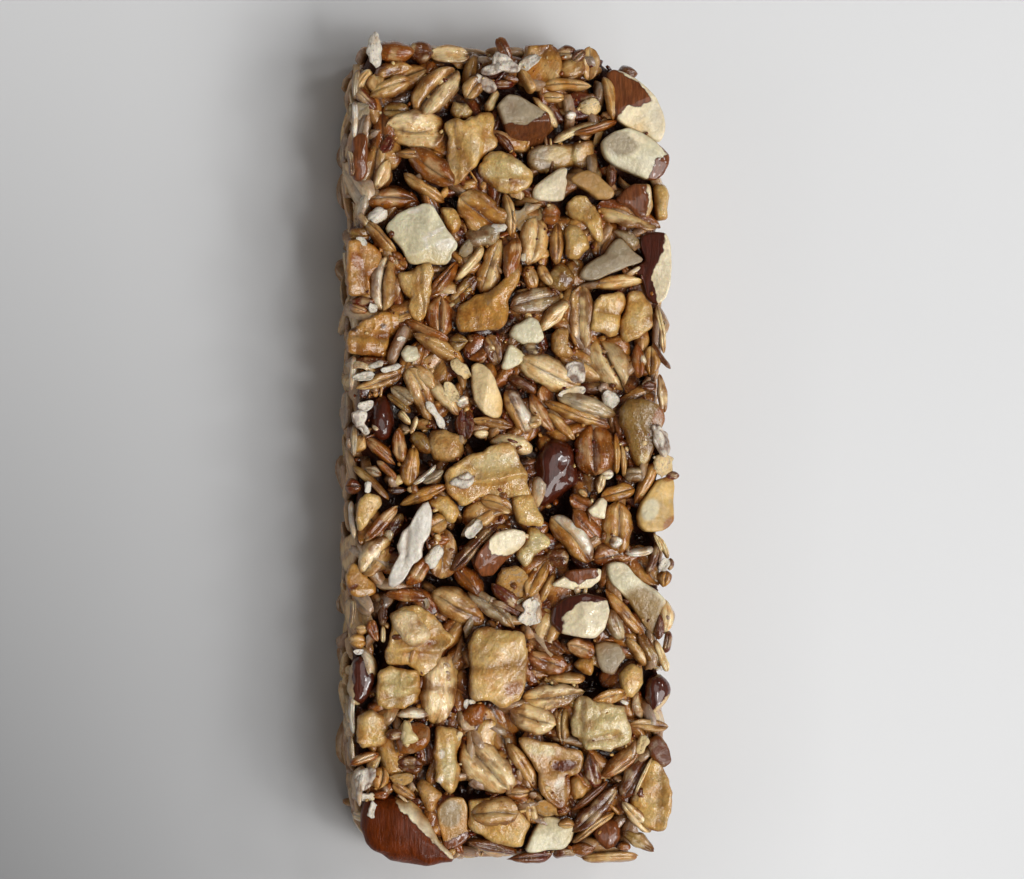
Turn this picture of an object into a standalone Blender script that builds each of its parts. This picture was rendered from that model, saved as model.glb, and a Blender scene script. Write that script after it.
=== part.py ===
"""A chewy granola bar, lying flat.

One pressed mass of rolled oats fills the whole bar. The chopped almonds and the chunks of dried
fruit that are as large as a berry are solids of their own, each seated in a pocket of the mass.

Metres, +Z up, +Y along the bar. The origin is under the middle of the bar, on its flat base.
"""

import math
from typing import NamedTuple

import bmesh
import bpy
from mathutils import Vector, noise

MM = 0.001

# Driving dimensions, in millimetres. The highest chunks reach the bar's full height.
BAR_HEIGHT = 15.6
MASS_LENGTH = 99.8
MASS_WIDTH = 39.4
MASS_HEIGHT = 13.2

# The mass is lofted through cross-sections about this far apart, and is lumpy all over.
SECTION_STEP = 2.7
TOP_COLUMNS = 13
RIM_WIDTH = 2.4
TOP_RELIEF = 1.9
WALL_RELIEF = 0.9
RELIEF_GRAIN = 4.6

# A chunk tapers to this share of its outline at its underside, and sits in its pocket with a gap.
UNDERSIDE_SHARE = 0.66
SEAT_GAP = 0.4
POCKET_SHOULDER = 1.8
POCKET_MOUTH = 3.0

# A soft-edged chunk starts this much larger than its outline, because rounding it shrinks it.
ROUNDING_ALLOWANCE = 0.25


class Look(NamedTuple):
    """Plain colour and roughness of a kind of piece."""

    color: tuple
    roughness: float


LOOKS = {
    "oats": Look((0.40, 0.24, 0.11), 0.55),
    "almond_skin": Look((0.20, 0.055, 0.018), 0.45),
    "almond_flesh": Look((0.72, 0.60, 0.42), 0.55),
    "fruit": Look((0.58, 0.38, 0.16), 0.45),
}


class Chunk(NamedTuple):
    """A large piece: its plan corners (mm), the height of its top, and its depth below that."""

    name: str
    look: str
    top: float
    depth: float
    slope: tuple
    corners: tuple


# Chopped almonds. Cut faces are flat, so their solids stay faceted.
ALMONDS = (
    Chunk("almond_01", "almond_flesh", 15.0, 6.0, (0.10, -0.12), (
        (12.3, 47.1), (14.2, 46.8), (16.0, 45.5), (18.4, 43.0), (19.1, 40.7), (18.5, 38.8),
        (16.0, 40.0), (13.3, 40.6), (12.9, 43.2))),
    Chunk("almond_02", "almond_flesh", 15.3, 6.5, (-0.12, 0.10), (
        (-1.9, 42.3), (-0.6, 43.6), (0.8, 43.5), (4.6, 41.5), (5.0, 40.0), (4.2, 37.7),
        (2.2, 36.9), (0.2, 37.7), (-0.8, 39.6))),
    Chunk("almond_03", "almond_flesh", 14.9, 6.0, (-0.06, 0.06), (
        (11.3, 37.9), (12.5, 39.4), (14.2, 39.5), (16.2, 39.0), (18.3, 37.9), (19.6, 36.9),
        (19.4, 34.9), (18.0, 33.9), (16.4, 33.8), (14.4, 34.8), (12.0, 36.2))),
    Chunk("almond_04", "almond_flesh", 14.6, 6.0, (0.10, 0.0), (
        (18.1, 27.1), (19.4, 27.0), (19.7, 24.0), (19.5, 21.5), (18.5, 18.9), (17.3, 19.0),
        (16.8, 20.6), (16.9, 22.6), (16.7, 24.6), (17.2, 26.1))),
    Chunk("almond_05", "almond_flesh", 15.1, 5.5, (0.0, 0.04), (
        (4.8, -16.2), (6.4, -15.2), (7.1, -14.4), (9.6, -14.1), (11.1, -14.2), (10.9, -15.6),
        (9.9, -16.5), (7.6, -16.7))),
    Chunk("almond_06", "almond_flesh", 15.4, 6.5, (0.08, -0.05), (
        (4.9, -20.8), (5.2, -18.9), (6.8, -17.6), (9.0, -17.1), (11.7, -17.8), (12.0, -19.3),
        (11.5, -21.5), (10.3, -22.7), (8.8, -22.6), (6.0, -22.0))),
    Chunk("almond_07", "almond_flesh", 14.8, 6.0, (0.06, 0.10), (
        (-4.7, -13.6), (-4.2, -12.2), (-3.0, -10.7), (-1.8, -9.6), (0.0, -9.3), (1.7, -9.6),
        (1.8, -10.9), (0.9, -11.9), (-0.6, -13.2), (-2.1, -15.0), (-3.6, -15.1))),
    Chunk("almond_08", "almond_flesh", 15.5, 6.5, (0.05, 0.06), (
        (-15.5, 27.0), (-14.3, 28.9), (-12.5, 29.8), (-10.5, 30.1), (-9.4, 29.8), (-8.6, 27.8),
        (-6.9, 25.2), (-7.6, 23.2), (-9.6, 23.2), (-12.2, 22.9), (-13.0, 23.9), (-14.1, 25.3))),
    Chunk("almond_09", "almond_flesh", 14.8, 6.5, (-0.10, 0.0), (
        (16.0, -6.2), (17.4, -4.3), (19.0, -3.3), (19.9, -3.9), (19.6, -6.2), (20.0, -8.0),
        (19.3, -9.3), (17.2, -9.7), (16.0, -9.0), (15.7, -7.7))),
    Chunk("almond_10", "almond_flesh", 15.2, 6.0, (-0.08, 0.05), (
        (-4.9, 10.3), (-4.3, 10.9), (-3.3, 10.7), (-2.2, 9.8), (-1.6, 8.3), (-1.3, 6.4),
        (-2.1, 4.3), (-4.0, 5.1), (-4.7, 7.0))),
    Chunk("almond_11", "almond_flesh", 15.3, 5.5, (-0.05, -0.05), (
        (8.5, 21.9), (8.9, 21.3), (10.0, 21.2), (12.0, 22.0), (16.1, 23.3), (16.2, 24.0),
        (13.7, 26.2), (13.0, 26.3), (12.0, 24.9), (10.5, 24.2), (9.6, 23.2))),
    Chunk("almond_12", "almond_flesh", 14.0, 6.0, (0.0, 0.08), (
        (1.8, -48.6), (2.5, -46.9), (3.8, -44.9), (5.9, -44.8), (6.6, -45.8), (7.7, -46.7),
        (7.1, -47.8), (5.5, -48.6))),
    Chunk("almond_13", "almond_flesh", 14.7, 6.5, (-0.10, 0.06), (
        (11.5, -14.1), (13.0, -13.4), (14.6, -13.9), (15.6, -15.4), (18.3, -17.4), (18.8, -18.4),
        (18.3, -19.5), (17.9, -22.3), (16.9, -22.1), (15.1, -19.1), (13.6, -17.1),
        (12.4, -16.0))),
)

# Almonds that keep their rounded brown skin, and the dried fruit, whose edges are all soft.
ROUNDED = (
    Chunk("almond_14", "almond_skin", 14.4, 6.5, (0.0, -0.05), (
        (-15.0, 7.7), (-16.4, 7.1), (-17.2, 5.0), (-17.4, 2.6), (-16.2, 1.2), (-14.6, 1.4),
        (-14.2, 3.0), (-14.6, 6.0))),
    Chunk("almond_15", "almond_skin", 14.0, 7.0, (-0.04, 0.05), (
        (3.6, 1.6), (5.8, 2.0), (8.0, 1.2), (9.4, -2.0), (9.6, -4.1), (7.0, -5.8),
        (4.4, -6.9), (3.2, -5.2), (3.0, -1.5))),
    Chunk("almond_16", "almond_skin", 14.6, 7.5, (0.08, 0.06), (
        (-15.6, -42.4), (-12.0, -41.7), (-10.7, -43.2), (-9.7, -45.8), (-7.0, -49.5),
        (-11.5, -50.1), (-15.0, -49.5), (-18.2, -46.4), (-18.5, -43.2))),
    Chunk("almond_17", "almond_skin", 14.2, 6.0, (-0.05, 0.08), (
        (-8.7, -43.1), (-8.0, -42.1), (-6.0, -41.9), (-5.6, -44.0), (-5.0, -46.7), (-7.2, -48.4),
        (-8.4, -46.0))),
    Chunk("almond_18", "almond_skin", 14.2, 6.0, (0.08, 0.05), (
        (-19.3, -24.7), (-17.4, -24.5), (-16.6, -26.5), (-16.7, -29.0), (-18.0, -30.6),
        (-19.6, -30.9), (-19.9, -27.5))),
    Chunk("almond_19", "almond_skin", 14.2, 6.5, (-0.05, -0.05), (
        (17.1, -27.2), (19.2, -27.0), (20.3, -28.3), (20.1, -29.9), (19.0, -31.7),
        (17.4, -32.6), (16.9, -30.0))),
    Chunk("fruit_01", "fruit", 15.2, 6.0, (0.04, -0.04), (
        (-8.2, 39.5), (-7.2, 40.7), (-5.0, 40.2), (-2.6, 41.4), (-1.6, 38.2), (-4.0, 36.6),
        (-5.6, 33.2), (-7.1, 33.9), (-7.5, 37.0))),
    Chunk("fruit_02", "fruit", 15.3, 6.0, (-0.03, 0.05), (
        (-3.7, 34.3), (-3.0, 36.0), (-1.0, 36.7), (0.9, 36.2), (2.7, 34.2), (2.5, 32.3),
        (0.2, 31.5), (-2.4, 32.5))),
    Chunk("fruit_03", "fruit", 14.4, 6.0, (0.05, 0.05), (
        (2.0, 35.8), (4.3, 37.2), (5.6, 39.0), (7.4, 39.2), (7.9, 36.8), (5.6, 35.5),
        (3.2, 34.8))),
    Chunk("fruit_04", "fruit", 15.4, 6.5, (0.04, 0.05), (
        (-6.7, 15.6), (-6.1, 17.9), (-3.6, 19.5), (0.9, 21.8), (0.4, 19.4), (-0.5, 16.6),
        (-2.0, 14.8), (-4.8, 14.9))),
    Chunk("fruit_05", "fruit", 15.0, 6.0, (0.0, 0.03), (
        (-13.8, 22.1), (-11.8, 22.3), (-10.0, 22.7), (-9.8, 21.0), (-10.3, 18.0), (-10.9, 16.0),
        (-11.7, 16.6), (-13.2, 18.9))),
    Chunk("fruit_06", "fruit", 14.8, 6.0, (-0.04, 0.0), (
        (-20.0, 25.3), (-17.6, 25.3), (-16.0, 23.9), (-17.1, 20.6), (-17.2, 18.8),
        (-19.8, 18.8), (-20.3, 21.5))),
    Chunk("fruit_07", "fruit", 14.8, 6.0, (-0.05, 0.0), (
        (-20.0, 12.3), (-19.8, 15.0), (-17.6, 16.2), (-15.2, 16.6), (-14.4, 14.6),
        (-15.4, 12.0), (-17.6, 11.7))),
    Chunk("fruit_08", "fruit", 15.5, 7.0, (0.02, 0.04), (
        (-4.8, 0.1), (-1.2, 1.2), (0.8, 0.2), (2.2, -2.2), (2.2, -4.8), (-1.0, -5.4),
        (-4.0, -5.4), (-6.0, -6.3), (-7.9, -3.8), (-6.6, -1.4))),
    Chunk("fruit_09", "fruit", 15.6, 7.0, (-0.02, 0.0), (
        (-5.0, -23.0), (-3.4, -21.0), (0.4, -21.6), (1.7, -22.8), (1.8, -27.2), (0.6, -29.8),
        (-1.6, -30.7), (-4.8, -29.8), (-5.5, -27.0))),
    Chunk("fruit_10", "fruit", 15.0, 6.0, (0.03, 0.0), (
        (-16.2, -26.8), (-14.9, -26.1), (-11.3, -26.7), (-11.0, -29.2), (-13.4, -30.8),
        (-16.0, -30.8), (-16.3, -28.6))),
    Chunk("fruit_11", "fruit", 15.2, 6.5, (0.04, 0.02), (
        (-14.7, -19.8), (-13.0, -18.9), (-10.8, -18.8), (-7.2, -22.4), (-8.2, -24.4),
        (-10.0, -26.1), (-14.2, -25.7), (-15.3, -23.8))),
    Chunk("fruit_12", "fruit", 15.2, 6.5, (-0.03, 0.05), (
        (7.8, -31.4), (8.8, -29.8), (11.2, -31.0), (13.8, -31.2), (15.0, -34.4), (12.6, -36.8),
        (8.6, -36.1), (7.5, -33.6))),
    Chunk("fruit_13", "fruit", 15.3, 6.0, (0.05, 0.0), (
        (-9.0, -33.0), (-7.0, -33.3), (-6.1, -36.0), (-6.3, -39.6), (-7.3, -41.5), (-9.0, -40.4),
        (-9.6, -36.2))),
    Chunk("fruit_14", "fruit", 15.0, 6.5, (-0.05, 0.03), (
        (2.1, -35.2), (5.0, -35.3), (9.3, -36.5), (7.6, -39.2), (7.2, -43.2), (5.4, -42.6),
        (3.3, -40.6))),
    Chunk("fruit_15", "fruit", 14.4, 6.0, (0.0, 0.04), (
        (-4.9, -43.4), (-3.8, -41.6), (-0.4, -42.0), (1.9, -43.6), (1.8, -47.2), (0.6, -48.2),
        (-4.2, -46.7))),
    Chunk("fruit_16", "fruit", 14.8, 7.0, (-0.06, 0.0), (
        (17.4, -38.4), (19.8, -38.4), (20.1, -41.4), (19.6, -44.6), (18.3, -46.2), (16.9, -44.6),
        (16.0, -41.6))),
    Chunk("fruit_17", "fruit", 15.0, 5.5, (0.0, 0.04), (
        (10.4, 19.5), (13.8, 19.9), (13.9, 17.5), (13.5, 14.6), (11.2, 14.6), (10.1, 16.6))),
    Chunk("fruit_18", "fruit", 14.8, 5.5, (0.04, 0.05), (
        (14.5, 19.5), (16.3, 19.6), (17.7, 16.9), (17.3, 15.0), (14.2, 13.7), (14.1, 16.4))),
    Chunk("fruit_19", "fruit", 15.2, 6.0, (0.0, 0.03), (
        (6.5, 29.0), (7.0, 31.2), (8.4, 32.0), (10.4, 30.6), (12.1, 26.8), (11.0, 25.0),
        (10.3, 26.8), (9.0, 28.6))),
    Chunk("fruit_20", "fruit", 15.0, 6.0, (-0.06, 0.04), (
        (-18.6, -5.1), (-16.6, -4.7), (-15.1, -6.2), (-17.4, -8.0), (-18.4, -10.2),
        (-19.2, -8.6))),
    Chunk("fruit_21", "fruit", 14.6, 6.0, (-0.05, 0.0), (
        (-19.7, -33.0), (-17.6, -31.4), (-15.2, -31.3), (-14.8, -33.4), (-16.4, -35.5),
        (-19.2, -35.6))),
    Chunk("fruit_22", "fruit", 14.4, 6.0, (-0.05, 0.0), (
        (-19.0, -12.6), (-18.0, -15.2), (-15.8, -16.2), (-17.0, -17.5), (-20.0, -17.5),
        (-20.0, -14.4))),
    Chunk("fruit_23", "fruit", 14.8, 7.0, (-0.04, 0.04), (
        (13.4, 5.6), (16.2, 6.7), (18.9, 6.2), (19.8, 2.6), (18.8, 0.0), (15.6, -0.1),
        (13.5, 3.4))),
)

# How the mass draws in near its two ends, in millimetres: distance from the end, then how far
# its left side, right side, base and top lie inside the full cross-section there.
FRONT_END = (
    (0.0, 7.4, 5.2, 1.7, 2.4), (0.5, 5.0, 4.2, 0.6, 0.9), (1.7, 3.4, 3.6, 0.0, 0.2),
    (4.0, 1.6, 2.6, 0.0, 0.0), (10.0, 0.4, 0.3, 0.0, 0.0), (16.0, 0.0, 0.0, 0.0, 0.0),
)
BACK_END = (
    (0.0, 2.6, 9.4, 1.7, 2.4), (0.5, 1.6, 8.2, 0.6, 0.9), (3.0, 0.5, 5.2, 0.0, 0.2),
    (7.0, 0.2, 1.0, 0.0, 0.0), (14.0, 0.0, 0.2, 0.0, 0.0),
)

# Levels of the mass's wall from its base up: inset from the side, share of the height.
WALL_LEVELS = ((1.3, 0.0), (0.3, 0.12), (0.0, 0.4), (0.1, 0.7), (0.7, 0.92))


def clear_scene():
    for old in list(bpy.data.objects):
        bpy.data.objects.remove(old, do_unlink=True)


def make_material(name):
    look = LOOKS[name]
    material = bpy.data.materials.new(name)
    material.use_nodes = True
    shader = material.node_tree.nodes["Principled BSDF"]
    shader.inputs["Base Color"].default_value = (*look.color, 1.0)
    shader.inputs["Roughness"].default_value = look.roughness
    shader.inputs["Metallic"].default_value = 0.0
    return material


def signed_area(outline):
    total = 0.0
    for (ax, ay), (bx, by) in zip(outline, outline[1:] + outline[:1]):
        total += ax * by - bx * ay
    return total / 2


def counterclockwise(corners):
    outline = [tuple(corner) for corner in corners]
    return outline if signed_area(outline) > 0 else outline[::-1]


def middle_of(outline):
    count = len(outline)
    return sum(x for x, _ in outline) / count, sum(y for _, y in outline) / count


def offset_outline(outline, distance):
    """Move every side of a counterclockwise outline outwards by the distance."""
    moved = []
    count = len(outline)
    for index, here in enumerate(outline):
        point = Vector(here)
        before = (point - Vector(outline[index - 1])).normalized()
        after = (Vector(outline[(index + 1) % count]) - point).normalized()
        normal_before = Vector((before.y, -before.x))
        normal_after = Vector((after.y, -after.x))
        bisector = (normal_before + normal_after).normalized()
        stretch = max(bisector.dot(normal_after), 0.5)
        moved.append(tuple(point + bisector * (distance / stretch)))
    return moved


def scaled_outline(outline, share):
    center_x, center_y = middle_of(outline)
    return [(center_x + (x - center_x) * share, center_y + (y - center_y) * share)
            for x, y in outline]


def add_loop(mesh, points):
    return [mesh.verts.new(Vector(point) * MM) for point in points]


def join_loops(mesh, lower, upper):
    count = len(lower)
    for index in range(count):
        following = (index + 1) % count
        mesh.faces.new((lower[index], lower[following], upper[following], upper[index]))


def new_object(name, mesh, look, smooth):
    data = bpy.data.meshes.new(name)
    mesh.to_mesh(data)
    mesh.free()
    item = bpy.data.objects.new(name, data)
    bpy.context.collection.objects.link(item)
    data.materials.append(look)
    if smooth:
        data.shade_smooth()
        data.set_sharp_from_angle(angle=math.radians(50))
    return item


def top_height(chunk, x, y):
    """Height of a chunk's sloping top over a plan point."""
    center_x, center_y = middle_of(chunk.corners)
    return chunk.top + chunk.slope[0] * (x - center_x) + chunk.slope[1] * (y - center_y)


def chunk_mesh(chunk, rim, shoulder, allowance=0.0):
    """A closed stone-like body: a narrow underside, a shoulder at the outline and an inset top."""
    outline = offset_outline(counterclockwise(chunk.corners), allowance)
    base = scaled_outline(outline, UNDERSIDE_SHARE)
    crown = offset_outline(outline, -rim)
    mesh = bmesh.new()
    bottom = add_loop(mesh, [(x, y, chunk.top - chunk.depth) for x, y in base])
    middle = add_loop(mesh, [(x, y, top_height(chunk, x, y) - shoulder) for x, y in outline])
    upper = add_loop(mesh, [(x, y, min(top_height(chunk, x, y), BAR_HEIGHT)) for x, y in crown])
    join_loops(mesh, bottom, middle)
    join_loops(mesh, middle, upper)
    mesh.faces.new(bottom[::-1])
    mesh.faces.new(upper)
    return mesh


def make_chopped_almond(chunk, materials):
    mesh = chunk_mesh(chunk, rim=0.45, shoulder=1.1)
    return new_object(chunk.name, mesh, materials[chunk.look], smooth=False)


def make_rounded_chunk(chunk, materials):
    mesh = chunk_mesh(chunk, rim=1.0, shoulder=1.5, allowance=ROUNDING_ALLOWANCE)
    item = new_object(chunk.name, mesh, materials[chunk.look], smooth=True)
    soft = item.modifiers.new("soft edges", "SUBSURF")
    soft.levels = 1
    soft.render_levels = 1
    return item


def make_pocket(chunk):
    """The room a chunk needs in the mass: its own body grown by the seat gap, open at the top."""
    outline = counterclockwise(chunk.corners)
    base = offset_outline(scaled_outline(outline, UNDERSIDE_SHARE), SEAT_GAP)
    grown = offset_outline(outline, SEAT_GAP)
    mesh = bmesh.new()
    floor = chunk.top - chunk.depth - SEAT_GAP
    bottom = add_loop(mesh, [(x, y, floor) for x, y in base])
    middle = add_loop(mesh, [(x, y, top_height(chunk, x, y) - POCKET_SHOULDER) for x, y in grown])
    upper = add_loop(mesh, [(x, y, BAR_HEIGHT + POCKET_MOUTH) for x, y in grown])
    join_loops(mesh, bottom, middle)
    join_loops(mesh, middle, upper)
    mesh.faces.new(bottom[::-1])
    mesh.faces.new(upper)
    data = bpy.data.meshes.new("pocket_" + chunk.name)
    mesh.to_mesh(data)
    mesh.free()
    item = bpy.data.objects.new("pocket_" + chunk.name, data)
    item.hide_render = True
    item.display_type = "WIRE"
    return item


def relief(x, y, z):
    """Lumps about as large as an oat, mostly from -0.7 to 0.7."""
    place = Vector((x, y, z)) / RELIEF_GRAIN
    return noise.noise(place) + 0.4 * noise.noise(place * 2.3 + Vector((7.0, 3.0, 5.0)))


def end_insets(y):
    """How far the left side, right side, base and top lie inside the full section at y."""
    table = FRONT_END if y < 0 else BACK_END
    from_end = MASS_LENGTH / 2 - abs(y)
    for near, far in zip(table, table[1:]):
        if from_end < far[0]:
            share = (from_end - near[0]) / (far[0] - near[0])
            return [a + (b - a) * share for a, b in zip(near[1:], far[1:])]
    return list(table[-1][1:])


def section_stations():
    """Places along the bar that get a cross-section: close together where its ends draw in."""
    half = MASS_LENGTH / 2
    front = [row[0] - half for row in FRONT_END[:3]]
    back = [half - row[0] for row in BACK_END[:3]][::-1]
    count = round((back[0] - front[-1]) / SECTION_STEP)
    run = [front[-1] + (back[0] - front[-1]) * index / count for index in range(1, count)]
    return front + run + back


def section_loop(y):
    """One closed cross-section: flat base, two lumpy walls and a lumpy top."""
    left_inset, right_inset, base, top_inset = end_insets(y)
    left = left_inset - MASS_WIDTH / 2
    right = MASS_WIDTH / 2 - right_inset
    height = MASS_HEIGHT - top_inset - base
    points = []
    for inset, share in WALL_LEVELS:
        z = base + height * share
        push = WALL_RELIEF * relief(right, y, z) if share else 0.0
        points.append((right - inset + push, y, z))
    rim = min(RIM_WIDTH, (right - left) / 8)
    for column in range(TOP_COLUMNS):
        x = right - rim + (left - right + 2 * rim) * column / (TOP_COLUMNS - 1)
        points.append((x, y, base + height + TOP_RELIEF * relief(x, y, 0.0)))
    for inset, share in WALL_LEVELS[::-1]:
        z = base + height * share
        push = WALL_RELIEF * relief(left, y, z) if share else 0.0
        points.append((left + inset - push, y, z))
    return points


def mass_mesh():
    """The pressed bar without its pockets."""
    mesh = bmesh.new()
    loops = [add_loop(mesh, section_loop(y)) for y in section_stations()]
    for nearer, farther in zip(loops, loops[1:]):
        join_loops(mesh, nearer, farther)
    mesh.faces.new(loops[0])
    mesh.faces.new(loops[-1])
    bmesh.ops.recalc_face_normals(mesh, faces=mesh.faces)
    return mesh


def make_oat_mass(chunks, materials):
    """The oat mass with a pocket for every chunk."""
    item = new_object("oat_mass", mass_mesh(), materials["oats"], smooth=False)
    pockets = bpy.data.collections.new("pockets")
    bpy.context.scene.collection.children.link(pockets)
    for chunk in chunks:
        pockets.objects.link(make_pocket(chunk))
    cut = item.modifiers.new("pockets", "BOOLEAN")
    cut.operation = "DIFFERENCE"
    cut.operand_type = "COLLECTION"
    cut.collection = pockets
    cut.solver = "EXACT"
    return item


def main():
    clear_scene()
    materials = {name: make_material(name) for name in LOOKS}
    make_oat_mass(ALMONDS + ROUNDED, materials)
    for chunk in ALMONDS:
        make_chopped_almond(chunk, materials)
    for chunk in ROUNDED:
        make_rounded_chunk(chunk, materials)


main()
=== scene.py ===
"""The looks of the granola bar: every oat, flake, almond and fruit chunk over a syrupy core tinted dark as
painted shade.

Everything is worked out in millimetres, in the CAD frame: +X across the bar, +Y along it, +Z up.
"""

import math
from typing import NamedTuple

import bmesh
import bpy
import numpy as np
from mathutils import Matrix, Vector
from mathutils.bvhtree import BVHTree


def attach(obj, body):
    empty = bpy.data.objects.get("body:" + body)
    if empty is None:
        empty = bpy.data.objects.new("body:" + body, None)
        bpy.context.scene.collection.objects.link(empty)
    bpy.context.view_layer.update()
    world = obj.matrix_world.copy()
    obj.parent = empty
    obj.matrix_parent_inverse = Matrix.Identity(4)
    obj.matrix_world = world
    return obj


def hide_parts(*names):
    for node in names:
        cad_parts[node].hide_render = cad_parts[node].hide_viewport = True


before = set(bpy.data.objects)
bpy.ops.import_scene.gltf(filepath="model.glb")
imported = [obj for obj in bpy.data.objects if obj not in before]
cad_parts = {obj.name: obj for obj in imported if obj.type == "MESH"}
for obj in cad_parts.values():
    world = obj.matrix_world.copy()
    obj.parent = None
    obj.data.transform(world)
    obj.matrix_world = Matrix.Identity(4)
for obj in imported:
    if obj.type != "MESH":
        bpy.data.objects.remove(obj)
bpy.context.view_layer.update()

MM = 0.001
# The first seed, and where the seeds of each group start.
SEED = 7
NUT_SEED, FRUIT_SEED, HUSK_SEED = SEED + 500, SEED + 700, SEED + 850
LOWER_SEED, WALL_SEED, CRUMB_SEED = SEED + 1000, SEED + 3000, SEED + 9000

# ---------------------------------------------------------------------------------------------
# Colours. Each look is the sRGB colour of a kind of surface in plain light.
# ---------------------------------------------------------------------------------------------

LOOKS = {
    "white": (241, 230, 213),
    "cream": (241, 212, 160),
    "tan": (196, 153, 91),
    "gold": (193, 140, 64),
    "amber": (154, 88, 18),
    "brown": (101, 49, 10),
    "red": (98, 30, 6),
    "dark": (54, 20, 8),
    "grey": (164, 146, 117),
    "olive": (146, 112, 54),
    "green": (228, 218, 184),
    "syrup": (56, 23, 5),
    # Painted shade: the near-black of the deepest gaps.
    "shade_black": (36, 11, 2),
    "glaze": (130, 78, 26),
    "ivory": (246, 230, 194),
    "chalk": (230, 222, 208),
    "pulp": (217, 178, 107),
    "pale pulp": (216, 194, 138),
    "skin": (126, 70, 34),
    "dark skin": (76, 28, 11),
    "warm skin": (112, 46, 6),
}
# What a full layer of syrup, deepened by painted shade in the gaps, leaves of red, green and blue.
GAP_STAIN_AND_SHADE = np.array([0.71, 0.42, 0.15])


def linear(name):
    """The linear colour of a look."""
    value = np.array(LOOKS[name], float) / 255
    return np.where(value <= 0.04045, value / 12.92, ((value + 0.055) / 1.055) ** 2.4)


def mix(first, second, share):
    """Blend two colours, or two sets of colours, by a share for every point."""
    share = np.clip(np.asarray(share, float), 0, 1)[..., None]
    return first * (1 - share) + second * share


def ramp(value, low, high):
    """0 below low, 1 above high, and smooth between them."""
    share = np.clip((value - low) / (high - low), 0, 1)
    return share * share * (3 - 2 * share)


def either_way(random, most, count=None):
    """A random number from -most to most, or that many of them."""
    return random.uniform(-most, most, count)


# ---------------------------------------------------------------------------------------------
# Noise, for millimetre points.
# ---------------------------------------------------------------------------------------------

def lattice_value(cell, seed):
    """A fixed pseudo-random number from -1 to 1 for each whole-number cell."""
    mixed = (cell[..., 0] * 73856093) ^ (cell[..., 1] * 19349663) ^ (cell[..., 2] * 83492791)
    mixed = (mixed ^ (seed * 2654435761)) & 0xFFFFFFFF
    mixed = ((mixed ^ (mixed >> 15)) * 2246822519) & 0xFFFFFFFF
    mixed = ((mixed ^ (mixed >> 13)) * 3266489917) & 0xFFFFFFFF
    return (mixed ^ (mixed >> 16)) / 0x7FFFFFFF - 1.0


def noise(points, size, seed=0):
    """Smooth noise from -1 to 1 with lumps of about that size."""
    scaled = np.asarray(points, float) / size
    cell = np.floor(scaled).astype(np.int64)
    part = scaled - cell
    ease = part * part * (3 - 2 * part)
    total = np.zeros(scaled.shape[:-1])
    for corner in np.ndindex(2, 2, 2):
        offset = np.array(corner)
        weight = np.prod(np.where(offset == 1, ease, 1 - ease), axis=-1)
        total += weight * lattice_value(cell + offset, seed)
    return total


def rough_noise(points, size, seed=0, octaves=3):
    """Noise with finer noise on it."""
    total = 0
    for octave in range(octaves):
        total = total + noise(points, size / 2 ** octave, seed + octave) / 2 ** octave
    return total


def ridged(points, size, seed=0):
    """Noise with sharp crests: 1 on thin wandering lines, down to -1 between them."""
    return 1 - 2 * np.abs(noise(points, size, seed)) ** 0.7


def jiggle(points, size, amount, seed):
    """Move points about by smooth noise."""
    shifts = [noise(points, size, seed + axis) for axis in range(3)]
    return points + amount * np.stack(shifts, axis=-1)


# ---------------------------------------------------------------------------------------------
# A heap gathers many small closed bodies of one kind, and becomes one piece.
# ---------------------------------------------------------------------------------------------

class Body(NamedTuple):
    """One closed body: points, quads, triangles, and what each point looks like."""

    points: np.ndarray
    quads: np.ndarray
    triangles: np.ndarray
    tint: np.ndarray
    grain: np.ndarray
    skin: np.ndarray


class Heap:
    """Bodies that make up one piece."""

    def __init__(self):
        self.bodies = []

    def add(self, body):
        self.bodies.append(body)

    def joined(self):
        """All the bodies as one."""
        points, quads, triangles, tint, grain, skin = [], [], [], [], [], []
        first = 0
        for body in self.bodies:
            points.append(body.points)
            quads.append(body.quads + first)
            triangles.append(body.triangles + first)
            tint.append(body.tint)
            grain.append(body.grain)
            skin.append(body.skin)
            first += len(body.points)
        return Body(*(np.concatenate(part) for part in (points, quads, triangles, tint, grain, skin)))


def make_piece(name, body, material, nodes=()):
    """Turn a body into a Blender object that rides on the root and may stand for CAD nodes."""
    data = bpy.data.meshes.new(name)
    data.vertices.add(len(body.points))
    data.vertices.foreach_set("co", (body.points * MM).astype(np.float32).ravel())
    corners = np.concatenate([body.quads.ravel(), body.triangles.ravel()])
    sizes = np.concatenate([np.full(len(body.quads), 4), np.full(len(body.triangles), 3)])
    data.loops.add(len(corners))
    data.loops.foreach_set("vertex_index", corners.astype(np.int32))
    data.polygons.add(len(sizes))
    data.polygons.foreach_set("loop_start", (np.cumsum(sizes) - sizes).astype(np.int32))
    data.update(calc_edges=True)
    tint = data.attributes.new("tint", "FLOAT_COLOR", "POINT")
    alpha = np.ones((len(body.tint), 1))
    tint.data.foreach_set("color", np.hstack([body.tint, alpha]).astype(np.float32).ravel())
    grain = data.attributes.new("grain", "FLOAT_VECTOR", "POINT")
    grain.data.foreach_set("vector", body.grain.astype(np.float32).ravel())
    skin = data.attributes.new("skin", "FLOAT", "POINT")
    skin.data.foreach_set("value", body.skin.astype(np.float32))
    data.shade_smooth()
    data.materials.append(material)
    item = bpy.data.objects.new(name, data)
    bpy.context.collection.objects.link(item)
    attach(item, "root")
    if nodes:
        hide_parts(*nodes)


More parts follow.
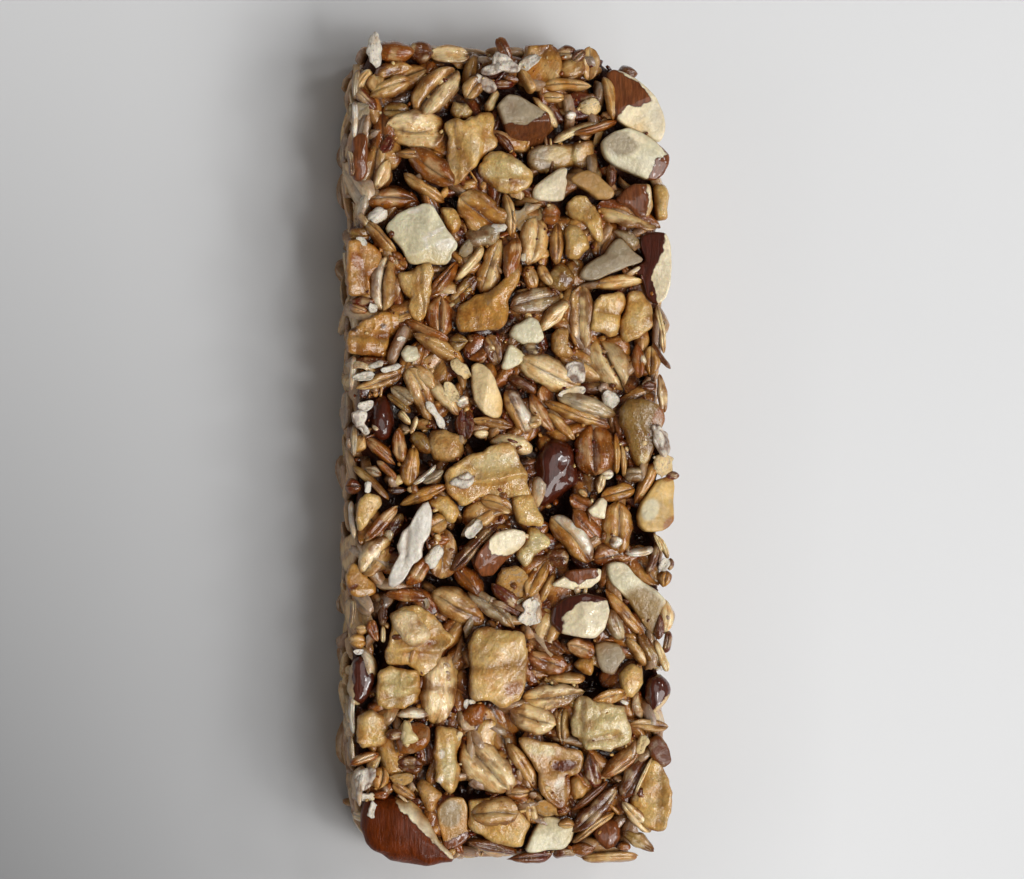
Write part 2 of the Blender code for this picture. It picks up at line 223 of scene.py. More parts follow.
def turned(points, heading=0.0, pitch=0.0, roll=0.0):
    """Roll about +X, pitch about +Y and turn about +Z, in degrees."""
    a, b, c = np.radians([roll, pitch, heading])
    about_x = np.array([[1, 0, 0], [0, math.cos(a), -math.sin(a)], [0, math.sin(a), math.cos(a)]])
    about_y = np.array([[math.cos(b), 0, math.sin(b)], [0, 1, 0], [-math.sin(b), 0, math.cos(b)]])
    about_z = np.array([[math.cos(c), -math.sin(c), 0], [math.sin(c), math.cos(c), 0], [0, 0, 1]])
    return points @ (about_z @ about_y @ about_x).T


# ---------------------------------------------------------------------------------------------
# Oats and everything shaped like them: a loft of cross-sections between two tips.
# ---------------------------------------------------------------------------------------------

class Shape(NamedTuple):
    """How an oat-like thing differs from others: shares are of its width or thickness."""

    thick: float
    flat: float
    crease: float
    blunt: float
    ragged: float
    wavy: float
    gloss: float


SHAPES = {
    "oat": Shape(thick=0.28, flat=3.2, crease=0.30, blunt=2.3, ragged=0.15, wavy=0.11, gloss=0.75),
    "fold": Shape(thick=0.34, flat=2.8, crease=0.70, blunt=2.2, ragged=0.15, wavy=0.14, gloss=0.7),
    "disc": Shape(thick=0.22, flat=4.0, crease=0.0, blunt=2.8, ragged=0.16, wavy=0.14, gloss=0.75),
    "grain": Shape(thick=0.50, flat=2.4, crease=0.34, blunt=1.7, ragged=0.18, wavy=0.10, gloss=0.8),
    "stick": Shape(thick=0.85, flat=2.4, crease=0.22, blunt=3.0, ragged=0.18, wavy=0.10, gloss=0.6),
    "flake": Shape(thick=0.13, flat=5.0, crease=0.0, blunt=3.6, ragged=0.42, wavy=0.34, gloss=0.0),
}

# How fine a body is: stations along it, points over its top and points underneath.
FINE = (24, 15, 5)
SLIM = (18, 11, 4)
COARSE = (12, 9, 4)
PRESSED = (9, 7, 3)
TINY = (6, 5, 2)


def ring_faces(rings, around):
    """Quads between rings of points, and the triangles that close both ends to their tips."""
    index = np.arange(rings * around).reshape(rings, around)
    nxt = np.roll(index, -1, axis=1)
    quads = np.stack([index[:-1], nxt[:-1], nxt[1:], index[1:]], axis=-1).reshape(-1, 4)
    start, end = rings * around, rings * around + 1
    front = np.stack([nxt[0], index[0], np.full(around, start)], axis=-1)
    back = np.stack([index[-1], nxt[-1], np.full(around, end)], axis=-1)
    return quads, np.concatenate([front, back])


# Folds have a deeper crease than this and always show it. Grains and sticks are thicker than this.
FOLD_CREASE = 0.5
GRAIN_THICK = 0.4
# Moves the noise of one body away from that of the next.
GRAIN_STEP = np.array([11.3, 5.1, 7.7])


def oat_grid(detail):
    """Where points lie along and across a body, from -1 to 1, and which of a ring are on top."""
    stations, top_count, bottom_count = detail
    along = -np.cos(np.linspace(0, math.pi, stations + 2))[1:-1]
    top = np.linspace(-1, 1, top_count)
    top = np.sign(top) * np.abs(top) ** 1.25
    under = np.linspace(1, -1, bottom_count + 2)[1:-1]
    across = np.concatenate([top, under])
    u, v = np.meshgrid(along, across, indexing="ij")
    return u, v, np.arange(len(across)) < top_count


def oat_outline(kind, chance, u, v, width, side_key, seed):
    """Half the width, and how far each end is stretched: ends are pointed or blunt, sides ragged."""
    front, back = kind.blunt * chance.uniform(0.75, 1.5), kind.blunt * chance.uniform(0.75, 1.5)
    blunt = np.where(u < 0, front, back)
    taper = (1 - np.abs(u) ** blunt) ** 0.55 * (1 + either_way(chance, 0.2) * u)
    torn = kind.ragged * rough_noise(side_key, 1.3, seed)
    end_key = np.stack([np.sign(u) * 7.0, v * width / 2, side_key[..., 2]], axis=-1)
    stretch = 1 + 0.6 * kind.ragged * rough_noise(end_key, 1.2, seed + 2)
    return width / 2 * taper * (1 + torn), stretch


def crease_depth(kind, marked, u, side_key, seed):
    """How deep the crease is along a body: some have little of it, and it may be broken."""
    always = kind.crease > FOLD_CREASE
    strength = 1.0 if always else 0.45 + 0.55 * ramp(marked, 0.2, 0.8)
    if kind.thick > GRAIN_THICK:
        strength = ramp(marked, 0.55, 0.85)
    broken = 1.0 if always else ramp(noise(side_key * [1, 0, 1], 2.2, seed + 7), -0.9, -0.3)
    return kind.crease * strength * broken * ramp(1 - np.abs(u), 0.02, 0.3)


def oat_section(kind, chance, u, v, is_top, key, side_key, width, seed):
    """The height of each point, the depth of the crease, and how hollow the surface is there.

    The section is a flattened dome of two lobes beside a thin crease, with ridges and dents.
    """
    facing = np.where(is_top, 1.0, -0.6)[None, :]
    dome = np.clip(1 - np.abs(v) ** kind.flat, 0, 1) ** 0.5
    body = (1 - np.abs(u) ** 3.0) ** 0.5
    lobes = np.sin(math.pi * np.clip(np.abs(v), 0, 1)) ** 0.8
    rise = dome * (0.90 + 0.10 * lobes * (kind.crease > 0))
    depth = crease_depth(kind, chance.uniform(0, 1), u, side_key, seed)
    crease = np.where(is_top, 1.0, 0.2)[None, :] * np.exp(-(v / 0.085) ** 2) * depth
    dents = rough_noise(key * [0.6, 1, 1], 1.3, seed + 11)
    wrinkles = ridged(jiggle(key * [0.4, 1, 1], 0.9, 0.3, seed + 15), 0.9, seed + 13)
    relief = rise - crease + dome * (0.12 * dents + 0.05 * wrinkles)
    z = kind.thick * width * facing * body * relief
    cup = chance.uniform(-0.12, 0.22) * width * v * v
    twist = either_way(chance, 0.18) * width * u * v
    z = z + cup + twist + kind.wavy * width * noise(key, 1.0 * width + 0.6, seed + 21)
    return z, depth, -wrinkles - dents


def oat_colour(kind, look, u, v, is_top, key, depth, hollow, seed):
    """One look per lobe; painted light: paler middle, darker rims; amber syrup rims; syrup and painted
    shade in hollows, creases, underneath.
    """
    names = look.split("/")
    colour = mix(linear(names[0]), linear(names[-1]), ramp(v, -0.05, 0.05))
    blotch = rough_noise(key, 1.5, seed + 31)
    fine = rough_noise(key, 0.5, seed + 37, 2)
    edge = np.maximum(np.abs(v), np.abs(u) ** 1.6)
    glaze = linear("glaze") * (0.75 + 0.25 * linear(names[0]) / linear("tan"))
    # Painted light: lighter in the middle and darker towards the rims, as if lit through.
    colour = colour * (1.10 - 0.20 * edge ** 2)[..., None]
    pale = ramp(-blotch + 0.3 * fine - 0.5 * edge, -0.2, 0.4)
    colour = mix(colour, linear("cream"), kind.gloss * pale * 0.6)
    colour = mix(colour, glaze, kind.gloss * ramp(edge + 0.35 * blotch, 0.58, 1.0) * 0.95)
    colour = mix(colour, glaze, kind.gloss * ramp(blotch + 0.4 * fine, 0.30, 0.60) * 0.85)
    colour = mix(colour, linear("brown") * 0.8, kind.gloss * ramp(blotch + 0.5 * fine, 0.75, 1.1) * 0.6)
    # Syrup and painted shade in the hollows of the surface.
    colour = mix(colour, glaze * 0.7, kind.gloss * ramp(hollow, 0.3, 1.2) * 0.6)
    # A dark line along the crease, deeper where it is deeper: syrup and painted shade.
    line = np.exp(-(v / 0.075) ** 2) * (kind.crease > 0) * ramp(1 - np.abs(u), 0.0, 0.15)
    colour = mix(colour, linear("syrup"), 0.7 * line * np.clip(depth * 8, 0, 1))
    # The underside glazed darker: syrup and painted shade.
    colour = mix(colour, glaze, np.where(is_top, 0.0, 0.5)[None, :] * kind.gloss * np.ones_like(u))
    return np.concatenate([colour.reshape(-1, 3), colour[[0, -1]].mean(axis=1)])


def oat_body(length, width, look, shape, seed, detail=FINE, bow=0.0):
    """An oat, grain, stick or flake, lying flat at the origin with its length along +X."""
    kind = SHAPES[shape]
    chance = np.random.default_rng(seed)
    u, v, is_top = oat_grid(detail)
    level = np.full_like(u, seed * 3.7)
    side_key = np.stack([u * length / 2, np.sign(v) * 9.0, level], axis=-1)
    reach, stretch = oat_outline(kind, chance, u, v, width, side_key, seed)

    # The crease wanders a little, and the mesh follows it.
    wander = either_way(chance, 0.14) + 0.10 * noise(side_key * [1, 0, 1], 3.0, seed + 5)
    x = u * length / 2 * stretch
    y = (v + wander * (1 - np.abs(v))) * reach + bow * length * (u * u - 0.4)
    key = np.stack([x, y, level], axis=-1)
    z, depth, hollow = oat_section(kind, chance, u, v, is_top, key, side_key, width, seed)
    colour = oat_colour(kind, look, u, v, is_top, key, depth, hollow, seed)

    rings = np.stack([x, y, z], axis=-1)
    tips = np.stack([rings[0].mean(axis=0), rings[-1].mean(axis=0)])
    tips[:, 0] += np.array([-0.01, 0.01]) * length
    points = np.concatenate([rings.reshape(-1, 3), tips])
    quads, triangles = ring_faces(*u.shape)
    return Body(points, quads, triangles, colour, points + seed * GRAIN_STEP, np.zeros(len(points)))


# ---------------------------------------------------------------------------------------------
# Chunks: stone-like bodies inside a plan outline.
# ---------------------------------------------------------------------------------------------

class Finish(NamedTuple):
    """How a chunk is finished. Lengths are in millimetres.

    facets: cut planes as (x, y, heading, slope); the top falls away on the left of the line.
    folds: raised or sunken lines as (x0, y0, x1, y1, width, height).
    steps: (x0, y0, x1, y1, drop, width); the top is lower to the left of the line.
    patches: spots of another look as (x, y, length, width, heading, look).
    skin: plan corners of the part that keeps its skin; flesh: those of the part that doesn't.
    """

    look: str
    rim: float = 0.8
    bulge: float = 0.3
    rumple: float = 0.25
    ragged: float = 0.14
    sticky: float = 0.7
    crinkle: float = 0.0
    run: float = 90.0
    facets: tuple = ()
    folds: tuple = ()
    steps: tuple = ()
    patches: tuple = ()
    skin: tuple = ()
    flesh: tuple = ()


def angles(count):
    """That many directions round a full turn, in radians."""
    return np.linspace(0, 2 * math.pi, count, endpoint=False)


def outline_radius(segments, center, count):
    """How far an outline of 2-D segments lies from the centre, in each direction."""
    turn = angles(count)
    ray = np.stack([np.cos(turn), np.sin(turn)], axis=-1)[:, None]
    start = (segments[:, 0] - center)[None]
    run = (segments[:, 1] - segments[:, 0])[None]
    cross = ray[..., 0] * run[..., 1] - ray[..., 1] * run[..., 0]
    safe = np.where(np.abs(cross) < 1e-9, 1e-9, cross)
    reach = (start[..., 0] * run[..., 1] - start[..., 1] * run[..., 0]) / safe
    share = (start[..., 0] * ray[..., 1] - start[..., 1] * ray[..., 0]) / safe
    hit = (share >= -1e-6) & (share <= 1 + 1e-6) & (reach > 0) & (np.abs(cross) > 1e-9)
    return np.where(hit, reach, 0).max(axis=1)


def smoothed_ring(values, passes):
    """Values round a ring, each averaged with its neighbours."""
    for _ in range(passes):
        values = (np.roll(values, 1) + 2 * values + np.roll(values, -1)) / 4
    return values


def polygon_distance(x, y, corners):
    """Signed distance to a plan polygon: positive inside it."""
    inside = np.zeros(x.shape, bool)
    nearest = np.full(x.shape, 1e9)
    for (ax, ay), (bx, by) in zip(corners, corners[1:] + corners[:1]):
        crosses = ((ay > y) != (by > y)) & (x < (bx - ax) * (y - ay) / (by - ay + 1e-12) + ax)
        inside ^= crosses
        nearest = np.minimum(nearest, segment_distance(x, y, ax, ay, bx, by))
    return np.where(inside, nearest, -nearest)


def segment_distance(x, y, ax, ay, bx, by):
    """How far points lie from the segment from a to b."""
    run_x, run_y = bx - ax, by - ay
    share = ((x - ax) * run_x + (y - ay) * run_y) / (run_x ** 2 + run_y ** 2 + 1e-12)
    share = np.clip(share, 0, 1)
    return np.hypot(x - ax - share * run_x, y - ay - share * run_y)


def beyond_line(x, y, ax, ay, bx, by):
    """How far points lie to the left of a line from a to b."""
    length = math.hypot(bx - ax, by - ay)
    return ((y - ay) * (bx - ax) - (x - ax) * (by - ay)) / length


def spot_share(x, y, spot):
    """How much a spot (x, y, length, width, heading) covers each point, from 0 to 1."""
    center_x, center_y, length, width, heading = spot
    a = math.radians(heading)
    along = (x - center_x) * math.cos(a) + (y - center_y) * math.sin(a)
    across = (y - center_y) * math.cos(a) - (x - center_x) * math.sin(a)
    far = np.hypot(along / (length / 2), across / (width / 2))
    return ramp(-far, -1.15, -0.75)


# The skin distance of a point that has no skin at all.
NO_SKIN = -3.0
# Far enough from the edge of any chunk to be off its rim.
FAR_INSIDE = 9.0


def cut_top(finish, seed, center, plane, px, py):
    """A chunk's top without its lumps: a plane, changed by facets, folds and steps."""
    base = plane[0] + plane[1] * (px - center[0]) + plane[2] * (py - center[1])
    z = base
    for fx, fy, heading, slope in finish.facets:
        a = math.radians(heading)
        beyond = (py - fy) * math.cos(a) - (px - fx) * math.sin(a)
        z = np.minimum(z, base - slope * beyond)
    for ax, ay, bx, by, width, height in finish.folds:
        z = z + 0.6 * height * np.exp(-(segment_distance(px, py, ax, ay, bx, by) / (1.4 * width)) ** 2)
    for ax, ay, bx, by, drop, width in finish.steps:
        bend = 0.35 * noise(np.stack([px, py, np.full_like(px, seed + 3.5)], axis=-1), 1.6, seed + 5)
        z = z - drop * ramp(beyond_line(px, py, ax, ay, bx, by) + bend, -width / 2, width / 2)
    return z


def lumpy_top(finish, seed, center, plane, px, py, from_edge, rim_size):
    """The height of a chunk's top, rounded off towards its rim, with its swells and its grooves."""
    key = np.stack([px, py, np.full_like(px, seed)], axis=-1)
    bent = jiggle(key, 2.5, 0.8, seed + 3)
    swell = noise(bent, 3.4, seed + 2) + 0.5 * noise(key, 1.6, seed + 6)
    swell = swell + 0.5 * ridged(bent, 3.0, seed + 7) + 0.08 * ridged(key, 0.9, seed + 9)
    near = 1 - np.clip(from_edge / rim_size, 0, 1)
    fall = 0.9 * rim_size * (1 - np.sqrt(np.clip(1 - near ** 2.2, 0, 1)))
    z = cut_top(finish, seed, center, plane, px, py) - fall
    grooves = ridged(bent, 1.0, seed + 9)
    return z + finish.rumple * swell - finish.crinkle * grooves, swell, grooves


def chunk_colour(finish, seed, points, tone, groove, rim_share, side_stain_and_shade):
    """Clouded; painted light makes swells paler and dips darker; glazed with syrup amber in hollows, at
    rims and, with painted shade, down the sides.
    """
    px, py = points[:, 0], points[:, 1]
    blotch = rough_noise(points, 1.5, seed + 61)
    glaze = linear("glaze") * 1.15
    colour = np.repeat(linear(finish.look)[None], len(points), axis=0)
    colour = colour * (1 + 0.10 * rough_noise(points, 2.4, seed + 51))[:, None]
    # Painted light and shade: paler on the swells, darker in the dips, which also get syrup glaze below.
    colour = colour * (1 + 0.10 * np.clip(tone, -1, 1))[:, None]
    colour = mix(colour, glaze, finish.sticky * ramp(-tone + 0.3 * blotch, 0.25, 1.2) * 0.8)
    for ax, ay, bx, by, width, height in finish.folds:
        line = np.exp(-(segment_distance(px, py, ax, ay, bx, by) / width) ** 2)
        # Sunken folds glazed with syrup and painted shade; raised folds painted lighter, a painted
        # highlight on the ridge.
        target = linear("glaze") if height < 0 else colour * 1.12
        colour = mix(colour, target, line * 0.5)
    for ax, ay, bx, by, _, width in finish.steps:
        # Syrup and painted shade at the foot of each step.
        foot_stain_and_shade = np.exp(-((beyond_line(px, py, ax, ay, bx, by) - 0.6 * width) / (0.5 + width)) ** 2)
        colour = mix(colour, glaze, finish.sticky * foot_stain_and_shade * np.clip(0.5 + 0.5 * blotch, 0, 1) * 0.7)
    colour = mix(colour, glaze, finish.sticky * rim_share * np.clip(0.45 + 0.6 * blotch, 0, 0.9))
    # Darker down the sides: syrup glaze and painted shade.
    colour = mix(colour, linear("glaze") * 0.7, ramp(side_stain_and_shade, 0.0, 0.6) * 0.8)
    if finish.crinkle:
        # Brown in the sunken grooves: partly brown husk, partly painted shade in the creases.
        colour = mix(colour, linear("brown"), ramp(groove + 0.3 * blotch, 0.2, 0.9) * 0.8)
    for *spot, look in finish.patches:
        colour = mix(colour, linear(look), spot_share(px, py, spot) * 0.85)
    return colour


def skin_distance(finish, points):
    """How far points lie inside the part of a chunk that keeps its skin."""
    if finish.skin:
        return polygon_distance(points[:, 0], points[:, 1], finish.skin)
    if finish.flesh:
        return -polygon_distance(points[:, 0], points[:, 1], finish.flesh)
    return np.full(len(points), NO_SKIN)


def with_poles(values, top, bottom):
    """The values of all ring points, then those of the top and bottom poles."""
    return np.concatenate([values.ravel(), [top, bottom]])


def chunk_body(center, radius, plane, floor, finish, seed, rings):
    """A chunk whose top follows a plane (height at the centre, slope x, slope y)."""
    top_rings, side_rings = rings
    count = len(radius)
    turn = angles(count)
    ring_x, ring_y = radius * np.cos(turn), radius * np.sin(turn)
    edge_ring = np.stack([ring_x, ring_y, np.full(count, seed * 2.1)], axis=-1)
    radius = radius + finish.ragged * rough_noise(edge_ring, 1.6, seed)
    rim = finish.rim * (1 + 0.45 * noise(edge_ring, 2.2, seed + 4))

    # Rings from the middle of the top to its rim, then down the side.
    inner = 1 - (1 - np.linspace(0, 1, top_rings + 1)[1:]) ** 1.5
    down = np.linspace(0, 1, side_rings + 1)[1:]
    share = np.concatenate([inner, 1 + 0.03 * np.sin(math.pi * down) - 0.25 * down ** 1.4])
    sunk = np.concatenate([np.zeros(top_rings), down])
    s, t = np.meshgrid(share, turn, indexing="ij")
    low = np.repeat(sunk[:, None], count, axis=1)
    x = center[0] + s * radius[None] * np.cos(t)
    y = center[1] + s * radius[None] * np.sin(t)
    edge = np.where(low > 0, 0, (1 - s) * radius[None])
    z_top, swell, grooves = lumpy_top(finish, seed, center, plane, x, y, edge, rim[None])
    z_top = z_top + finish.bulge * (1 - np.clip(s, 0, 1) ** 2)
    z = z_top * (1 - low) + floor * low

    pole = [np.array([value]) for value in (center[0], center[1], FAR_INSIDE)]
    pole_top, pole_swell, pole_groove = lumpy_top(finish, seed, center, plane, *pole, finish.rim)
    tip_top = [center[0], center[1], pole_top[0] + finish.bulge]
    tip_low = [center[0], center[1], floor]
    points = np.concatenate([np.stack([x, y, z], axis=-1).reshape(-1, 3), [tip_top, tip_low]])
    points = jiggle(points, 1.3, 0.10 * min(1.0, finish.rim), seed + 41)
    quads, triangles = ring_faces(len(share), count)
    quads, triangles = quads[:, ::-1], triangles[:, ::-1]

    tone = with_poles(swell, pole_swell[0], 0)
    groove = with_poles(grooves, pole_groove[0], 0)
    rim_share = with_poles(ramp(-edge / rim[None], -1.1, 0.0), 0, 0)
    side_stain_and_shade = with_poles(low, 0, 1)
    colour = chunk_colour(finish, seed, points, tone, groove, rim_share, side_stain_and_shade)
    grain = turned(points, -finish.run) + seed * GRAIN_STEP
    return Body(points, quads, triangles, colour, grain, skin_distance(finish, points))


# ---------------------------------------------------------------------------------------------
# How each chunk of the CAD model is finished.
# ---------------------------------------------------------------------------------------------

NUT = {"rim": 0.35, "bulge": 0.10, "rumple": 0.10, "ragged": 0.07, "sticky": 0.3}
SOFT = {"rim": 0.55, "bulge": 0.20, "rumple": 0.30, "ragged": 0.28, "sticky": 0.9}

